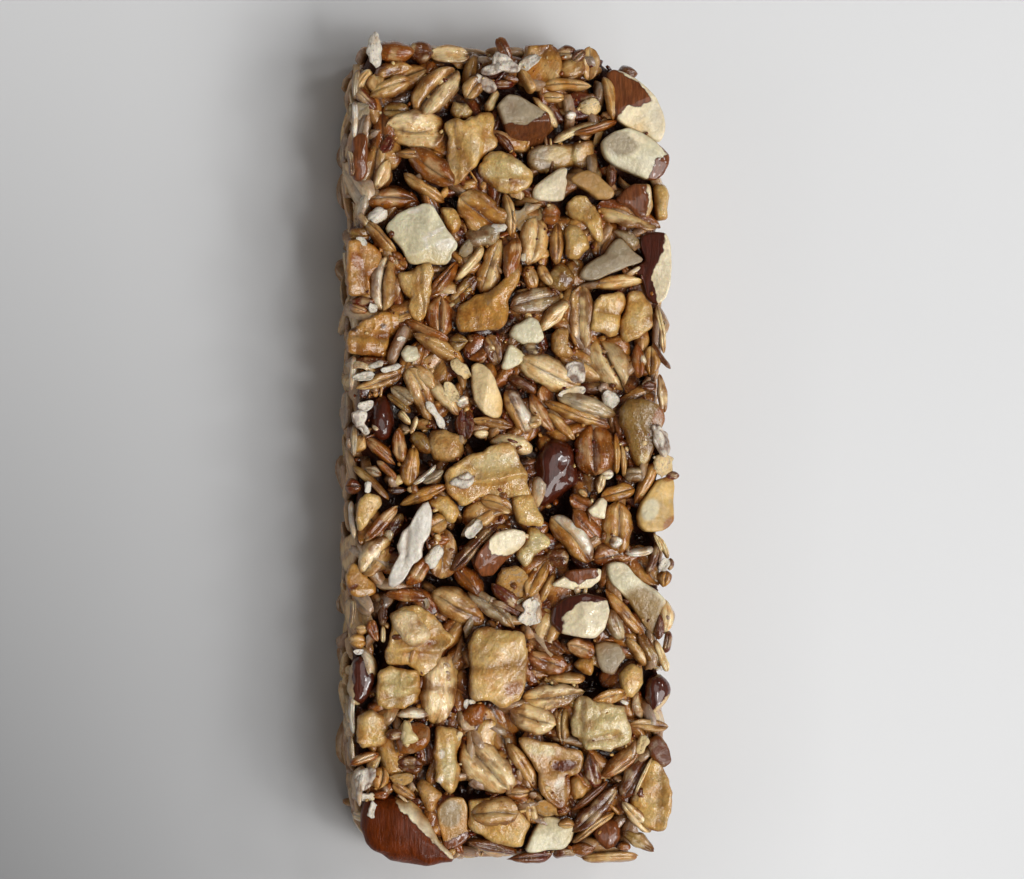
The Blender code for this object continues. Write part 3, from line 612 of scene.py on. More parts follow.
FINISHES = {
    "almond_01": Finish(
        "ivory", **NUT, facets=((15.0, 43.0, 200, 0.25), (16.5, 41.5, -20, 0.0)),
        skin=(
            (11.5, 47.6), (14.0, 46.6), (15.6, 45.5), (16.8, 44.2), (17.5, 43.2), (16.6, 42.9),
            (15.6, 42.5), (14.6, 42.7), (13.7, 42.0), (13.0, 41.2), (12.2, 42.0))),
    "almond_02": Finish(
        "grey", **NUT, facets=((1.0, 40.3, 183, 0.9),),
        skin=((-2.0, 40.2), (0.5, 40.0), (2.0, 40.0), (4.6, 41.6), (6.0, 41.0), (5.0, 36.5), (0, 36.0))),
    "almond_03": Finish(
        "green", **NUT, facets=((13.5, 37.0, 160, 0.25), (17.0, 36.5, -70, 0.2), (15.0, 35.8, 200, 0.22)),
        patches=((13.4, 37.9, 4.8, 3.0, -10, "grey"), (15.6, 38.6, 2.6, 0.9, -25, "ivory")),
        skin=(
            (18.0, 36.2), (19.0, 36.5), (19.6, 36.9), (18.4, 37.9), (20.8, 37.6), (20.6, 34.0),
            (18.4, 33.2), (17.0, 33.4), (17.6, 34.8))),
    "almond_04": Finish(
        "ivory", **NUT,
        skin=(
            (14.0, 28.5), (19.0, 28.0), (18.9, 25.0), (18.0, 23.2), (17.5, 21.6), (17.9, 19.6),
            (18.4, 18.0), (14.0, 18.0))),
    "almond_05": Finish(
        "ivory", **NUT, skin=((6.0, -14.9), (6.8, -13.9), (10.5, -13.8), (10.6, -15.0), (8.2, -16.0))),
    "almond_06": Finish(
        "ivory", **NUT, facets=((8.6, -18.6, 100, 0.35), (8.0, -21.5, 190, 0.3)),
        flesh=((6.3, -20.0), (8.5, -18.2), (12.2, -18.1), (12.0, -22.2), (10.4, -23.4), (6.4, -22.6))),
    "almond_07": Finish(
        "ivory", **NUT, facets=((-1.0, -12.0, 215, 0.35),),
        flesh=(
            (-3.0, -10.8), (-1.8, -9.0), (2.4, -8.8), (2.6, -10.0), (1.2, -11.9), (-0.4, -12.6),
            (-2.6, -12.5))),
    "almond_08": Finish(
        "green", rim=0.25, rumple=0.05, ragged=0.10, sticky=0.1,
        facets=((-11.4, 27.0, 112, 0.16), (-9.8, 26.4, 8, 0.14), (-10.4, 24.6, 205, 0.22)),
        steps=((-6.6, 26.3, -10.4, 24.5, 0.28, 0.15), (-8.2, 23.0, -7.2, 24.6, 0.15, 0.1)),
        patches=(
            (-9.6, 26.6, 3.6, 0.5, 30, "white"), (-10.6, 25.4, 2.4, 0.4, -70, "white"),
            (-8.2, 25.2, 2.8, 1.4, 10, "chalk"), (-11.8, 29.3, 2.2, 0.5, 15, "white"))),
    "almond_09": Finish(
        "pulp", **NUT, facets=((17.5, -6.0, 60, 0.15),),
        patches=(
            (19.8, -8.6, 2.4, 1.4, 40, "amber"), (19.6, -3.0, 1.6, 1.2, 20, "amber"),
            (17.2, -7.0, 3.0, 2.2, 60, "green"))),
    "almond_10": Finish("cream", **NUT, facets=((-3.1, 8.0, 80, 0.5), (-3.0, 8.0, 262, 0.35))),
    "almond_11": Finish("grey", **NUT, facets=((12.0, 23.4, 20, 0.2),)),
    "almond_12": Finish("green", **NUT, facets=((4.5, -46.8, 20, 0.15),)),
    "almond_13": Finish(
        "green", **NUT, facets=((15.0, -16.4, 150, 0.2), (13.8, -15.0, 60, 0.2)),
        patches=((17.0, -19.4, 7.5, 4.6, -52, "olive"), (13.2, -14.2, 2.4, 1.6, 0, "ivory"))),
    "almond_14": Finish(
        "skin", rim=1.2, bulge=0.5, rumple=0.1,
        skin=((-20.0, 10.0), (-12.0, 10.0), (-12.0, -1.0), (-20.0, -1.0))),
    "almond_15": Finish(
        "skin", rim=1.4, bulge=0.35, rumple=0.05, facets=((5.6, -2.9, 222, 0.36), (4.2, -2.0, 100, 0.3)),
        skin=((0.0, 4.0), (12.0, 4.0), (12.0, -9.0), (0.0, -9.0))),
    "almond_16": Finish(
        "ivory", rim=1.8, bulge=0.9, rumple=0.10,
        flesh=(
            (-14.4, -41.2), (-13.4, -43.4), (-11.8, -45.0), (-10.0, -46.8), (-8.2, -48.5), (-6.6, -49.7),
            (-5.6, -48.6), (-8.4, -44.4), (-10.2, -41.4), (-12.2, -40.8))),
    "almond_17": Finish(
        "tan", **NUT, patches=((-7.4, -43.8, 3.6, 3.0, 90, "grey"),),
        skin=(
            (-8.4, -47.4), (-6.6, -46.8), (-5.4, -46.0), (-4.2, -46.2), (-4.0, -47.4), (-7.6, -49.6),
            (-8.8, -49.0))),
    "almond_18": Finish(
        "cream", rim=0.8, bulge=0.4, rumple=0.12,
        skin=(
            (-19.4, -24.0), (-16.0, -24.0), (-16.0, -27.6), (-18.2, -30.6), (-19.0, -29.8),
            (-19.3, -27.0))),
    "almond_19": Finish(
        "cream", rim=1.0, bulge=0.4, rumple=0.12,
        skin=((16.0, -26.5), (20.4, -26.5), (20.2, -29.2), (18.4, -31.0), (17.2, -32.4), (16.0, -31.0))),
    "fruit_01": Finish(
        "pulp", **SOFT, folds=((-5.0, 40.0, -4.6, 35.0, 0.6, 0.35), (-6.6, 38.0, -5.6, 34.5, 0.4, -0.35)),
        patches=((-5.9, 41.0, 2.0, 1.2, 0, "cream"),),
        steps=((-3.5, 41.0, -4.2, 34.0, 0.3, 0.8), (-6.6, 33.0, -6.8, 40.0, 0.35, 0.5))),
    "fruit_02": Finish(
        "pulp", **SOFT, folds=((-2.5, 35.6, 1.8, 34.4, 0.45, 0.3), (-2.4, 33.6, 1.4, 33.0, 0.4, -0.3)),
        patches=((-0.8, 34.4, 4.6, 3.0, 15, "pale pulp"),), steps=((2.6, 33.6, -3.8, 33.4, 0.5, 0.4),)),
    "fruit_03": Finish(
        "grey", rim=0.8, bulge=0.3, rumple=0.18, steps=((8.1, 34.0, 8.1, 39.0, 0.5, 0.3),),
        patches=(
            (6.6, 36.4, 4.4, 2.6, 5, "pale pulp"), (10.0, 36.6, 3.4, 3.0, 90, "cream"),
            (10.1, 36.3, 0.9, 0.3, 60, "dark"))),
    "fruit_04": Finish(
        "gold", **SOFT,
        folds=(
            (0.8, 22.0, -2.5, 18.5, 0.5, 0.45), (-2.5, 18.5, -1.0, 15.0, 0.4, 0.4),
            (-4.6, 18.2, -4.2, 15.4, 0.4, -0.4))),
    "fruit_05": Finish(
        "pulp", **SOFT, folds=((-11.5, 21.6, -11.2, 17.4, 0.45, 0.35),),
        steps=((-10.6, 16.0, -11.2, 23.0, 0.35, 0.5),)),
    "fruit_06": Finish(
        "gold", **SOFT, folds=((-18.5, 25.0, -18.0, 19.2, 0.5, -0.35),),
        patches=((-18.9, 23.2, 2.5, 1.5, -60, "amber"),)),
    "fruit_07": Finish(
        "gold", **SOFT,
        folds=((-19.4, 14.2, -15.4, 14.0, 0.4, -0.5), (-18.2, 12.2, -16.0, 15.8, 0.4, 0.35)),
        patches=((-15.7, 15.3, 0.9, 0.7, 0, "dark"), (-19.2, 14.8, 0.9, 0.6, 0, "dark"))),
    "fruit_08": Finish(
        "pulp", **SOFT, patches=((-2.2, -1.2, 5.4, 2.4, 5, "pale pulp"),),
        folds=((-5.0, -3.7, 0.0, -3.0, 0.5, 0.5), (-5.6, -1.4, 1.6, -1.6, 0.5, -0.35)),
        steps=((2.4, -2.9, -8.0, -4.2, 0.6, 0.4),)),
    "fruit_09": Finish(
        "pulp", **SOFT,
        folds=((-4.6, -26.2, 1.2, -25.6, 0.5, -0.25), (-4.4, -23.4, 0.8, -23.0, 0.5, 0.3)),
        patches=((0.2, -28.6, 2.6, 1.6, 30, "amber"),),
        steps=((2.2, -24.5, -3.5, -31.0, 0.4, 0.6), (-2.0, -21.0, -5.4, -25.0, -0.25, 0.5))),
    "fruit_10": Finish(
        "pulp", **SOFT, patches=((-13.8, -28.0, 4.2, 3.2, 0, "pale pulp"),),
        folds=((-15.2, -28.4, -11.8, -28.0, 0.4, 0.3),),
        steps=((-11.0, -29.0, -16.0, -30.0, 0.35, 0.3),)),
    "fruit_11": Finish(
        "pulp", **SOFT,
        folds=((-14.2, -22.8, -8.4, -23.0, 0.45, -0.5), (-12.5, -19.6, -11.5, -22.2, 0.4, 0.4)),
        patches=((-9.4, -21.5, 2.0, 1.6, 0, "tan"), (-12.4, -24.7, 2.2, 1.0, 10, "cream")),
        steps=((-8.0, -24.0, -15.5, -24.3, 0.5, 0.5),)),
    "fruit_12": Finish(
        "pale pulp", **SOFT,
        folds=((8.6, -33.4, 13.8, -32.6, 0.5, 0.4), (9.4, -35.2, 13.0, -34.6, 0.4, -0.35)),
        steps=((8.8, -36.5, 9.0, -29.5, 0.5, 0.4),)),
    "fruit_13": Finish(
        "pulp", **SOFT, folds=((-8.0, -34.0, -7.4, -40.4, 0.5, 0.45),),
        patches=(
            (-7.6, -37.8, 5.6, 1.9, 86, "pale pulp"), (-8.6, -36.5, 1.2, 0.7, 80, "white"),
            (-8.8, -39.7, 1.2, 0.7, 80, "white")),
        steps=((-6.9, -33.5, -6.9, -41.0, 0.5, 0.5),)),
    "fruit_14": Finish(
        "tan", **SOFT,
        patches=(
            (6.6, -38.2, 3.2, 1.5, 5, "red"), (6.0, -40.3, 1.6, 1.0, 40, "white"),
            (3.6, -36.2, 4.0, 1.6, -10, "pale pulp")),
        folds=((5.4, -38.2, 7.8, -38.1, 0.6, -0.8), (7.2, -39.8, 7.0, -43.0, 0.25, -0.4)),
        steps=((1.0, -36.6, 4.0, -40.6, 0.4, 0.4),)),
    "fruit_15": Finish("pulp", **SOFT),
    "fruit_16": Finish("pulp", **SOFT, folds=((18.6, -39.0, 18.4, -45.0, 0.5, -0.3),)),
    "fruit_17": Finish("pulp", **SOFT, folds=((10.8, 17.4, 13.4, 17.0, 0.4, -0.4),)),
    "fruit_18": Finish("pulp", **SOFT, folds=((14.8, 17.8, 16.8, 16.4, 0.4, 0.3),)),
    "fruit_19": Finish("pulp", **SOFT, folds=((7.4, 30.6, 10.6, 27.2, 0.4, 0.3),)),
    "fruit_20": Finish("pulp", **SOFT),
    "fruit_21": Finish("pulp", **SOFT, folds=((-18.5, -32.0, -18.5, -34.5, 0.35, -0.4),)),
    "fruit_22": Finish("gold", **SOFT, patches=((-19.2, -16.3, 1.4, 0.6, 30, "red"),)),
    "fruit_23": Finish(
        "olive", rim=0.8, bulge=0.3, rumple=0.18, ragged=0.15,
        patches=((18.4, 4.4, 3.2, 1.8, 60, "amber"), (16.6, -0.6, 1.8, 1.2, 60, "pale pulp"))),
}

# Plan corners of the chunks whose real outline is less even than that of their CAD solids.
OUTLINES = {
    "almond_01": (
        (11.9, 46.9), (12.8, 47.3), (14.2, 46.8), (15.6, 46.0), (17.0, 44.8), (18.0, 43.6), (18.8, 42.0),
        (19.2, 40.6), (19.2, 39.4), (18.6, 38.2), (17.8, 38.5), (16.6, 39.1), (15.2, 39.5), (14.0, 40.3),
        (13.1, 41.0), (12.6, 42.8), (12.2, 44.6)),
    "almond_03": (
        (11.2, 38.3), (12.4, 39.3), (14.4, 39.9), (16.2, 39.4), (17.6, 38.6), (19.0, 37.6), (19.9, 36.8),
        (19.8, 35.6), (19.2, 34.4), (18.2, 33.6), (16.9, 33.7), (15.4, 34.3), (14.0, 34.9), (12.8, 35.3),
        (11.8, 36.2), (11.3, 37.2)),
    "almond_04": (
        (16.2, 26.8), (17.6, 27.2), (19.3, 27.2), (19.9, 25.8), (20.0, 23.0), (19.8, 20.6), (19.2, 18.9),
        (18.5, 18.3), (17.4, 18.6), (16.9, 19.6), (16.6, 20.8), (15.9, 21.8), (14.8, 22.2), (15.6, 22.9),
        (16.6, 23.6), (16.8, 24.4), (16.1, 25.4)),
    "almond_08": (
        (-15.5, 27.0), (-14.0, 29.0), (-12.6, 29.6), (-11.0, 30.1), (-10.2, 30.2), (-9.6, 29.9),
        (-8.8, 28.4), (-8.2, 27.2), (-6.7, 25.4), (-6.8, 24.6), (-7.5, 24.2), (-7.3, 23.6), (-8.0, 22.8),
        (-9.4, 22.8), (-10.2, 23.1), (-11.8, 22.8), (-12.6, 23.0), (-13.6, 24.8)),
    "almond_09": (
        (20.2, -2.6), (19.2, -3.0), (18.2, -3.4), (17.2, -4.6), (16.2, -6.0), (15.6, -7.8), (15.8, -9.0),
        (16.6, -9.7), (17.8, -9.7), (18.8, -9.6), (19.6, -9.2), (20.4, -8.3), (20.3, -6.0), (20.5, -4.0)),
    "almond_10": (
        (-4.9, 10.6), (-4.2, 11.0), (-3.3, 10.7), (-2.6, 10.0), (-2.0, 9.0), (-1.4, 7.6), (-0.9, 6.0),
        (-1.0, 4.8), (-1.4, 4.2), (-2.2, 4.2), (-3.2, 4.6), (-4.0, 5.4), (-4.6, 6.4), (-4.8, 8.0)),
    "almond_11": (
        (8.4, 21.8), (9.2, 23.0), (10.4, 23.8), (11.6, 24.4), (12.2, 25.4), (13.2, 26.4), (13.8, 26.2),
        (14.4, 25.4), (15.4, 24.5), (16.5, 23.8), (16.2, 23.4), (14.6, 22.9), (13.2, 22.3), (11.8, 21.8),
        (10.6, 21.2), (9.6, 21.1), (8.6, 21.3)),
    "almond_12": (
        (1.8, -48.7), (2.2, -47.6), (2.8, -46.2), (3.6, -44.8), (4.4, -44.4), (5.6, -44.6), (7.9, -45.5),
        (7.9, -46.4), (7.6, -47.4), (7.0, -48.3), (6.4, -48.6), (4.4, -48.6), (2.8, -48.8)),
    "almond_13": (
        (11.9, -13.6), (13.0, -13.3), (14.2, -13.5), (15.2, -14.8), (16.4, -15.8), (18.0, -16.8),
        (19.4, -18.2), (18.6, -19.6), (18.5, -21.0), (18.2, -22.4), (17.4, -22.2), (16.4, -20.8),
        (15.4, -19.4), (14.4, -18.0), (13.4, -16.9), (12.4, -16.0), (11.9, -14.8)),
    "almond_15": (
        (3.0, -3.8), (3.2, -1.6), (3.6, -0.2), (4.4, 1.0), (5.4, 1.7), (6.2, 1.8), (7.4, 1.2), (8.2, 0.2),
        (8.3, -1.0), (8.8, -2.2), (9.2, -3.4), (8.8, -4.0), (7.6, -4.6), (6.4, -5.6), (5.0, -6.5),
        (4.0, -6.8), (3.4, -6.0)),
    "almond_16": (
        (-17.6, -41.9), (-18.4, -43.6), (-18.4, -45.4), (-17.6, -47.1), (-16.4, -48.3), (-14.6, -49.4),
        (-12.6, -49.9), (-10.4, -50.1), (-8.4, -49.9), (-7.0, -49.8), (-6.7, -49.2), (-7.6, -48.2),
        (-8.6, -47.2), (-9.6, -45.6), (-10.4, -44.0), (-11.2, -42.7), (-12.0, -41.9), (-13.2, -41.8),
        (-14.0, -41.4), (-15.6, -41.7)),
    "almond_17": (
        (-9.1, -43.4), (-8.6, -42.6), (-7.6, -41.9), (-5.8, -41.9), (-5.3, -42.8), (-5.3, -45.6),
        (-4.7, -46.8), (-5.4, -47.4), (-6.6, -48.2), (-7.6, -48.7), (-8.1, -48.2), (-8.2, -47.0),
        (-8.7, -45.4)),
    "fruit_03": (
        (2.2, 35.6), (2.2, 36.8), (3.2, 37.7), (5.0, 38.0), (6.6, 38.2), (8.4, 38.4), (10.0, 38.7),
        (10.9, 38.6), (10.8, 37.4), (11.3, 36.4), (11.7, 35.8), (11.4, 34.9), (10.6, 34.3), (9.6, 34.6),
        (8.6, 35.1), (7.2, 35.0), (5.6, 34.6), (4.2, 34.3), (3.0, 34.7)),
    "fruit_14": (
        (0.8, -34.7), (3.0, -34.9), (6.0, -35.6), (8.4, -36.4), (9.2, -37.2), (9.0, -38.2), (8.4, -39.2),
        (7.4, -39.7), (7.4, -41.0), (7.1, -42.4), (6.9, -43.6), (5.6, -43.2), (4.4, -42.2), (3.5, -40.8),
        (3.2, -39.2), (2.3, -37.4), (1.2, -36.0)),
    "fruit_23": (
        (13.6, 5.8), (14.6, 6.6), (16.2, 6.6), (17.6, 6.3), (18.8, 5.4), (19.2, 4.2), (18.6, 2.8),
        (18.2, 1.4), (17.9, 0.0), (17.4, -1.2), (16.4, -2.1), (15.6, -1.6), (15.0, 0.0), (14.4, 2.0),
        (13.6, 3.6), (13.4, 4.8)),
    "fruit_01": (
        (-8.3, 40.1), (-7.2, 40.9), (-6.0, 40.5), (-4.6, 40.7), (-3.6, 41.6), (-2.3, 41.5), (-2.1, 40.3),
        (-2.2, 39.3), (-1.9, 38.5), (-1.6, 37.6), (-2.1, 36.9), (-3.2, 36.6), (-3.9, 35.9), (-4.2, 34.9),
        (-5.2, 34.0), (-5.9, 33.3), (-6.4, 32.5), (-7.3, 32.4), (-7.8, 33.5), (-7.8, 36.0), (-7.7, 38.2),
        (-8.4, 39.2)),
    "fruit_02": (
        (-3.9, 34.9), (-3.6, 36.1), (-2.7, 36.8), (-0.9, 36.8), (0.0, 36.3), (1.4, 35.4), (2.6, 34.3),
        (2.8, 33.3), (2.2, 32.3), (0.9, 31.5), (-0.6, 31.6), (-2.0, 32.2), (-3.2, 33.2), (-3.9, 34.2)),
    "fruit_04": (
        (-6.8, 16.3), (-6.6, 17.6), (-5.9, 18.3), (-4.3, 19.2), (-3.1, 19.6), (-2.0, 20.2), (-0.6, 21.4),
        (0.6, 23.2), (1.0, 22.6), (0.9, 20.6), (0.0, 19.6), (-0.4, 18.5), (-0.4, 16.8), (-0.8, 15.5),
        (-2.0, 14.7), (-3.8, 14.8), (-5.5, 14.6), (-6.6, 14.8)),
    "fruit_05": (
        (-14.0, 22.0), (-12.2, 22.1), (-11.5, 22.8), (-9.8, 23.1), (-9.4, 22.0), (-9.9, 20.0),
        (-10.2, 18.0), (-10.4, 16.2), (-11.2, 15.7), (-12.3, 16.4), (-12.7, 17.6), (-12.2, 18.3),
        (-13.0, 19.6), (-13.8, 20.8)),
    "fruit_06": (
        (-20.0, 25.5), (-18.5, 25.6), (-17.0, 25.2), (-15.9, 24.2), (-15.8, 23.0), (-16.6, 22.0),
        (-17.2, 20.8), (-17.1, 18.8), (-18.5, 18.8), (-20.0, 19.0), (-20.2, 22.0)),
    "fruit_07": (
        (-20.0, 12.0), (-20.1, 14.5), (-18.0, 16.0), (-16.0, 17.0), (-14.8, 16.8), (-14.3, 15.5),
        (-14.7, 14.0), (-15.2, 12.6), (-16.0, 11.6), (-18.0, 11.8)),
    "fruit_08": (
        (-8.2, -2.7), (-7.6, -1.6), (-6.0, -1.0), (-5.0, 0.0), (-3.4, 0.4), (-1.5, 1.3), (-0.4, 1.3),
        (0.4, 0.5), (0.8, -0.6), (1.3, -1.5), (1.9, -2.5), (2.3, -4.0), (2.6, -5.4), (1.2, -5.5),
        (-1.0, -5.6), (-2.6, -5.4), (-4.2, -5.5), (-5.6, -6.6), (-6.4, -6.4), (-7.4, -5.4), (-8.1, -4.4)),
    "fruit_09": (
        (-5.2, -22.8), (-4.3, -21.5), (-3.2, -20.9), (-1.6, -21.6), (0.2, -21.5), (1.3, -21.7),
        (1.8, -22.6), (1.7, -24.4), (2.0, -25.5), (1.9, -27.4), (1.5, -28.8), (0.8, -30.0), (-0.4, -30.9),
        (-1.6, -30.8), (-3.0, -30.2), (-4.6, -30.2), (-5.4, -29.4), (-5.1, -27.5), (-5.4, -25.0)),
    "fruit_10": (
        (-16.4, -27.6), (-15.9, -26.4), (-14.7, -25.9), (-13.2, -26.2), (-11.4, -26.2), (-11.0, -27.5),
        (-10.8, -29.2), (-11.8, -30.2), (-13.4, -31.0), (-15.2, -31.0), (-16.3, -30.6), (-16.5, -29.2)),
    "fruit_11": (
        (-13.6, -18.9), (-11.5, -18.6), (-9.4, -19.8), (-8.2, -21.3), (-6.9, -22.4), (-7.4, -23.4),
        (-8.3, -24.3), (-9.2, -26.2), (-10.0, -27.4), (-11.2, -27.0), (-11.8, -26.1), (-15.2, -25.7),
        (-15.4, -24.3), (-14.9, -22.5), (-14.6, -21.0), (-14.7, -19.8)),
    "fruit_12": (
        (8.3, -29.7), (9.6, -29.9), (10.4, -30.6), (12.6, -30.9), (14.0, -31.0), (14.4, -32.2),
        (14.8, -33.2), (15.0, -34.4), (14.7, -35.4), (13.6, -36.0), (12.4, -36.7), (10.8, -36.1),
        (9.4, -36.2), (8.6, -35.4), (7.6, -34.6), (7.4, -32.5), (7.8, -30.8)),
    "fruit_13": (
        (-9.2, -33.0), (-7.0, -33.2), (-6.1, -33.9), (-5.9, -35.0), (-6.3, -36.0), (-6.2, -38.0),
        (-6.3, -39.8), (-6.9, -41.3), (-7.6, -41.5), (-8.6, -40.6), (-9.4, -39.8), (-9.2, -38.0),
        (-9.3, -35.5)),
    "fruit_15": (
        (-5.2, -42.3), (-4.9, -45.8), (-3.5, -46.8), (-1.5, -47.6), (0.5, -48.2), (1.6, -48.3),
        (2.0, -46.8), (2.4, -45.4), (1.2, -43.6), (0.0, -42.6), (-2.0, -42.0), (-4.6, -42.0)),
    "fruit_16": (
        (17.4, -37.2), (18.7, -38.0), (19.8, -40.0), (20.0, -42.0), (19.8, -44.0), (19.3, -46.2),
        (18.2, -46.6), (16.8, -46.2), (15.4, -44.4), (15.0, -42.4), (15.9, -40.4), (16.8, -38.5)),
    "fruit_17": (
        (10.1, 15.4), (10.2, 18.0), (10.8, 19.4), (12.2, 19.6), (13.6, 19.9), (14.2, 18.5), (13.9, 16.5),
        (13.5, 15.0), (13.4, 14.2), (12.2, 14.6), (10.8, 15.0)),
    "fruit_18": (
        (14.0, 17.5), (14.6, 19.8), (16.4, 20.0), (17.2, 18.6), (17.8, 17.2), (17.9, 15.6), (16.6, 14.4),
        (14.4, 13.4), (13.8, 14.4), (13.6, 16.2)),
    "fruit_21": (
        (-18.5, -32.0), (-17.0, -31.2), (-15.3, -31.6), (-14.8, -33.2), (-15.2, -34.9), (-16.6, -35.8),
        (-18.2, -36.0), (-19.0, -35.2), (-18.7, -33.5)),
}

# Smaller pieces of almond and husk: height of the top, finish, corners.
SMALL_NUTS = {
    "almond_flake": (
        14.4,
        Finish(
            "tan", **NUT, skin=((12, 34), (16.4, 34), (17.2, 31), (16.4, 28), (12, 28)),
            patches=((17.0, 31.6, 2.6, 0.9, 90, "ivory"),)),
        (
            (12.9, 31.0), (14.2, 32.4), (15.3, 33.1), (17.4, 33.1), (17.8, 30.5), (17.1, 29.0),
            (15.8, 29.0), (14.7, 30.1))),
    "smooth_nut": (
        14.6, Finish("tan", **NUT),
        (
            (7.1, 33.4), (8.2, 34.4), (9.6, 34.7), (10.8, 34.2), (11.8, 33.2), (12.8, 32.2), (12.9, 31.6),
            (12.4, 31.1), (10.8, 31.1), (9.6, 32.0), (8.2, 32.8))),
    "pale_nut": (
        14.8, Finish("ivory", **NUT, facets=((4.8, 32.9, 40, 0.3),)),
        (
            (2.6, 31.6), (3.0, 32.6), (4.4, 33.8), (5.6, 34.6), (6.6, 35.0), (7.1, 34.6), (6.7, 33.8),
            (7.0, 33.2), (6.8, 32.4), (6.6, 31.4), (6.5, 30.9), (4.6, 30.8), (2.9, 30.9))),
    "skin_sliver": (
        14.0, Finish("skin", rim=0.6, skin=((-21, 40), (-16, 40), (-16, 31), (-21, 31))),
        (
            (-19.3, 38.5), (-17.8, 38.8), (-17.4, 36.5), (-17.5, 34.0), (-18.3, 32.9), (-19.2, 33.2),
            (-19.5, 35.5))),
    "grey_chip_a": (
        14.6, Finish("green", **NUT),
        (
            (-0.3, 14.3), (0.3, 15.5), (1.2, 15.9), (2.4, 16.6), (3.3, 16.2), (4.1, 14.0), (3.2, 13.3),
            (1.4, 13.2))),
    "grey_chip_b": (
        14.2, Finish("green", **NUT),
        ((-0.2, 13.3), (0.5, 13.0), (2.1, 11.8), (1.1, 10.8), (-0.4, 10.1), (-1.2, 10.2), (-0.8, 11.8))),
    "clear_chip": (
        13.8, Finish("grey", **NUT),
        (
            (10.5, -23.6), (11.6, -23.1), (13.4, -23.4), (14.4, -25.0), (13.6, -26.0), (12.9, -27.4),
            (11.5, -26.9), (10.8, -25.7))),
    "dark_kernel": (
        13.0, Finish("skin", rim=0.7, skin=((9, -44), (15, -44), (15, -50), (9, -50))),
        (
            (10.4, -46.5), (12.0, -45.2), (13.4, -45.2), (13.9, -46.0), (14.0, -47.2), (13.2, -48.4),
            (12.0, -48.8), (11.0, -47.8))),
    "teardrop": (
        14.4, Finish("green", **NUT),
        ((-13.6, 12.0), (-12.8, 13.0), (-11.6, 12.8), (-11.0, 11.6), (-11.8, 11.0), (-13.0, 11.0))),
    "ivory_chip": (
        14.8, Finish("ivory", **NUT),
        ((9.5, -7.0), (11.2, -5.4), (11.9, -6.0), (11.6, -8.2), (10.0, -7.8))),
    "ivory_flake": (
        15.5,
        Finish(
            "chalk", rim=0.3, bulge=0.0, rumple=0.2, ragged=0.2,
            folds=((-12.8, -9.4, -13.0, -12.6, 0.22, -0.5), (-11.0, -7.0, -11.6, -12.0, 0.3, 0.2))),
        (
            (-11.5, -6.6), (-11.1, -5.8), (-10.2, -5.2), (-9.9, -6.4), (-9.9, -8.8), (-10.1, -10.2),
            (-10.8, -11.0), (-11.1, -12.6), (-12.4, -13.8), (-13.5, -15.9), (-14.2, -16.5),
            (-15.6, -16.4), (-16.2, -15.8), (-15.0, -14.6), (-14.0, -13.6), (-13.9, -11.2), (-13.4, -9.6),
            (-12.3, -8.7))),
    "wedge": (
        15.3, Finish("pale pulp", rim=0.3, rumple=0.1),
        (
            (-13.2, -32.3), (-12.6, -32.7), (-12.2, -33.6), (-11.4, -34.6), (-12.2, -35.2),
            (-13.5, -35.4), (-13.6, -34.2))),
    "husk_flake": (
        14.2, Finish("brown", rim=0.4, bulge=0.2, rumple=0.2),
        (
            (17.0, -35.3), (18.5, -34.7), (19.5, -35.8), (20.0, -38.0), (19.0, -38.7), (18.0, -38.0),
            (17.2, -37.3))),
}

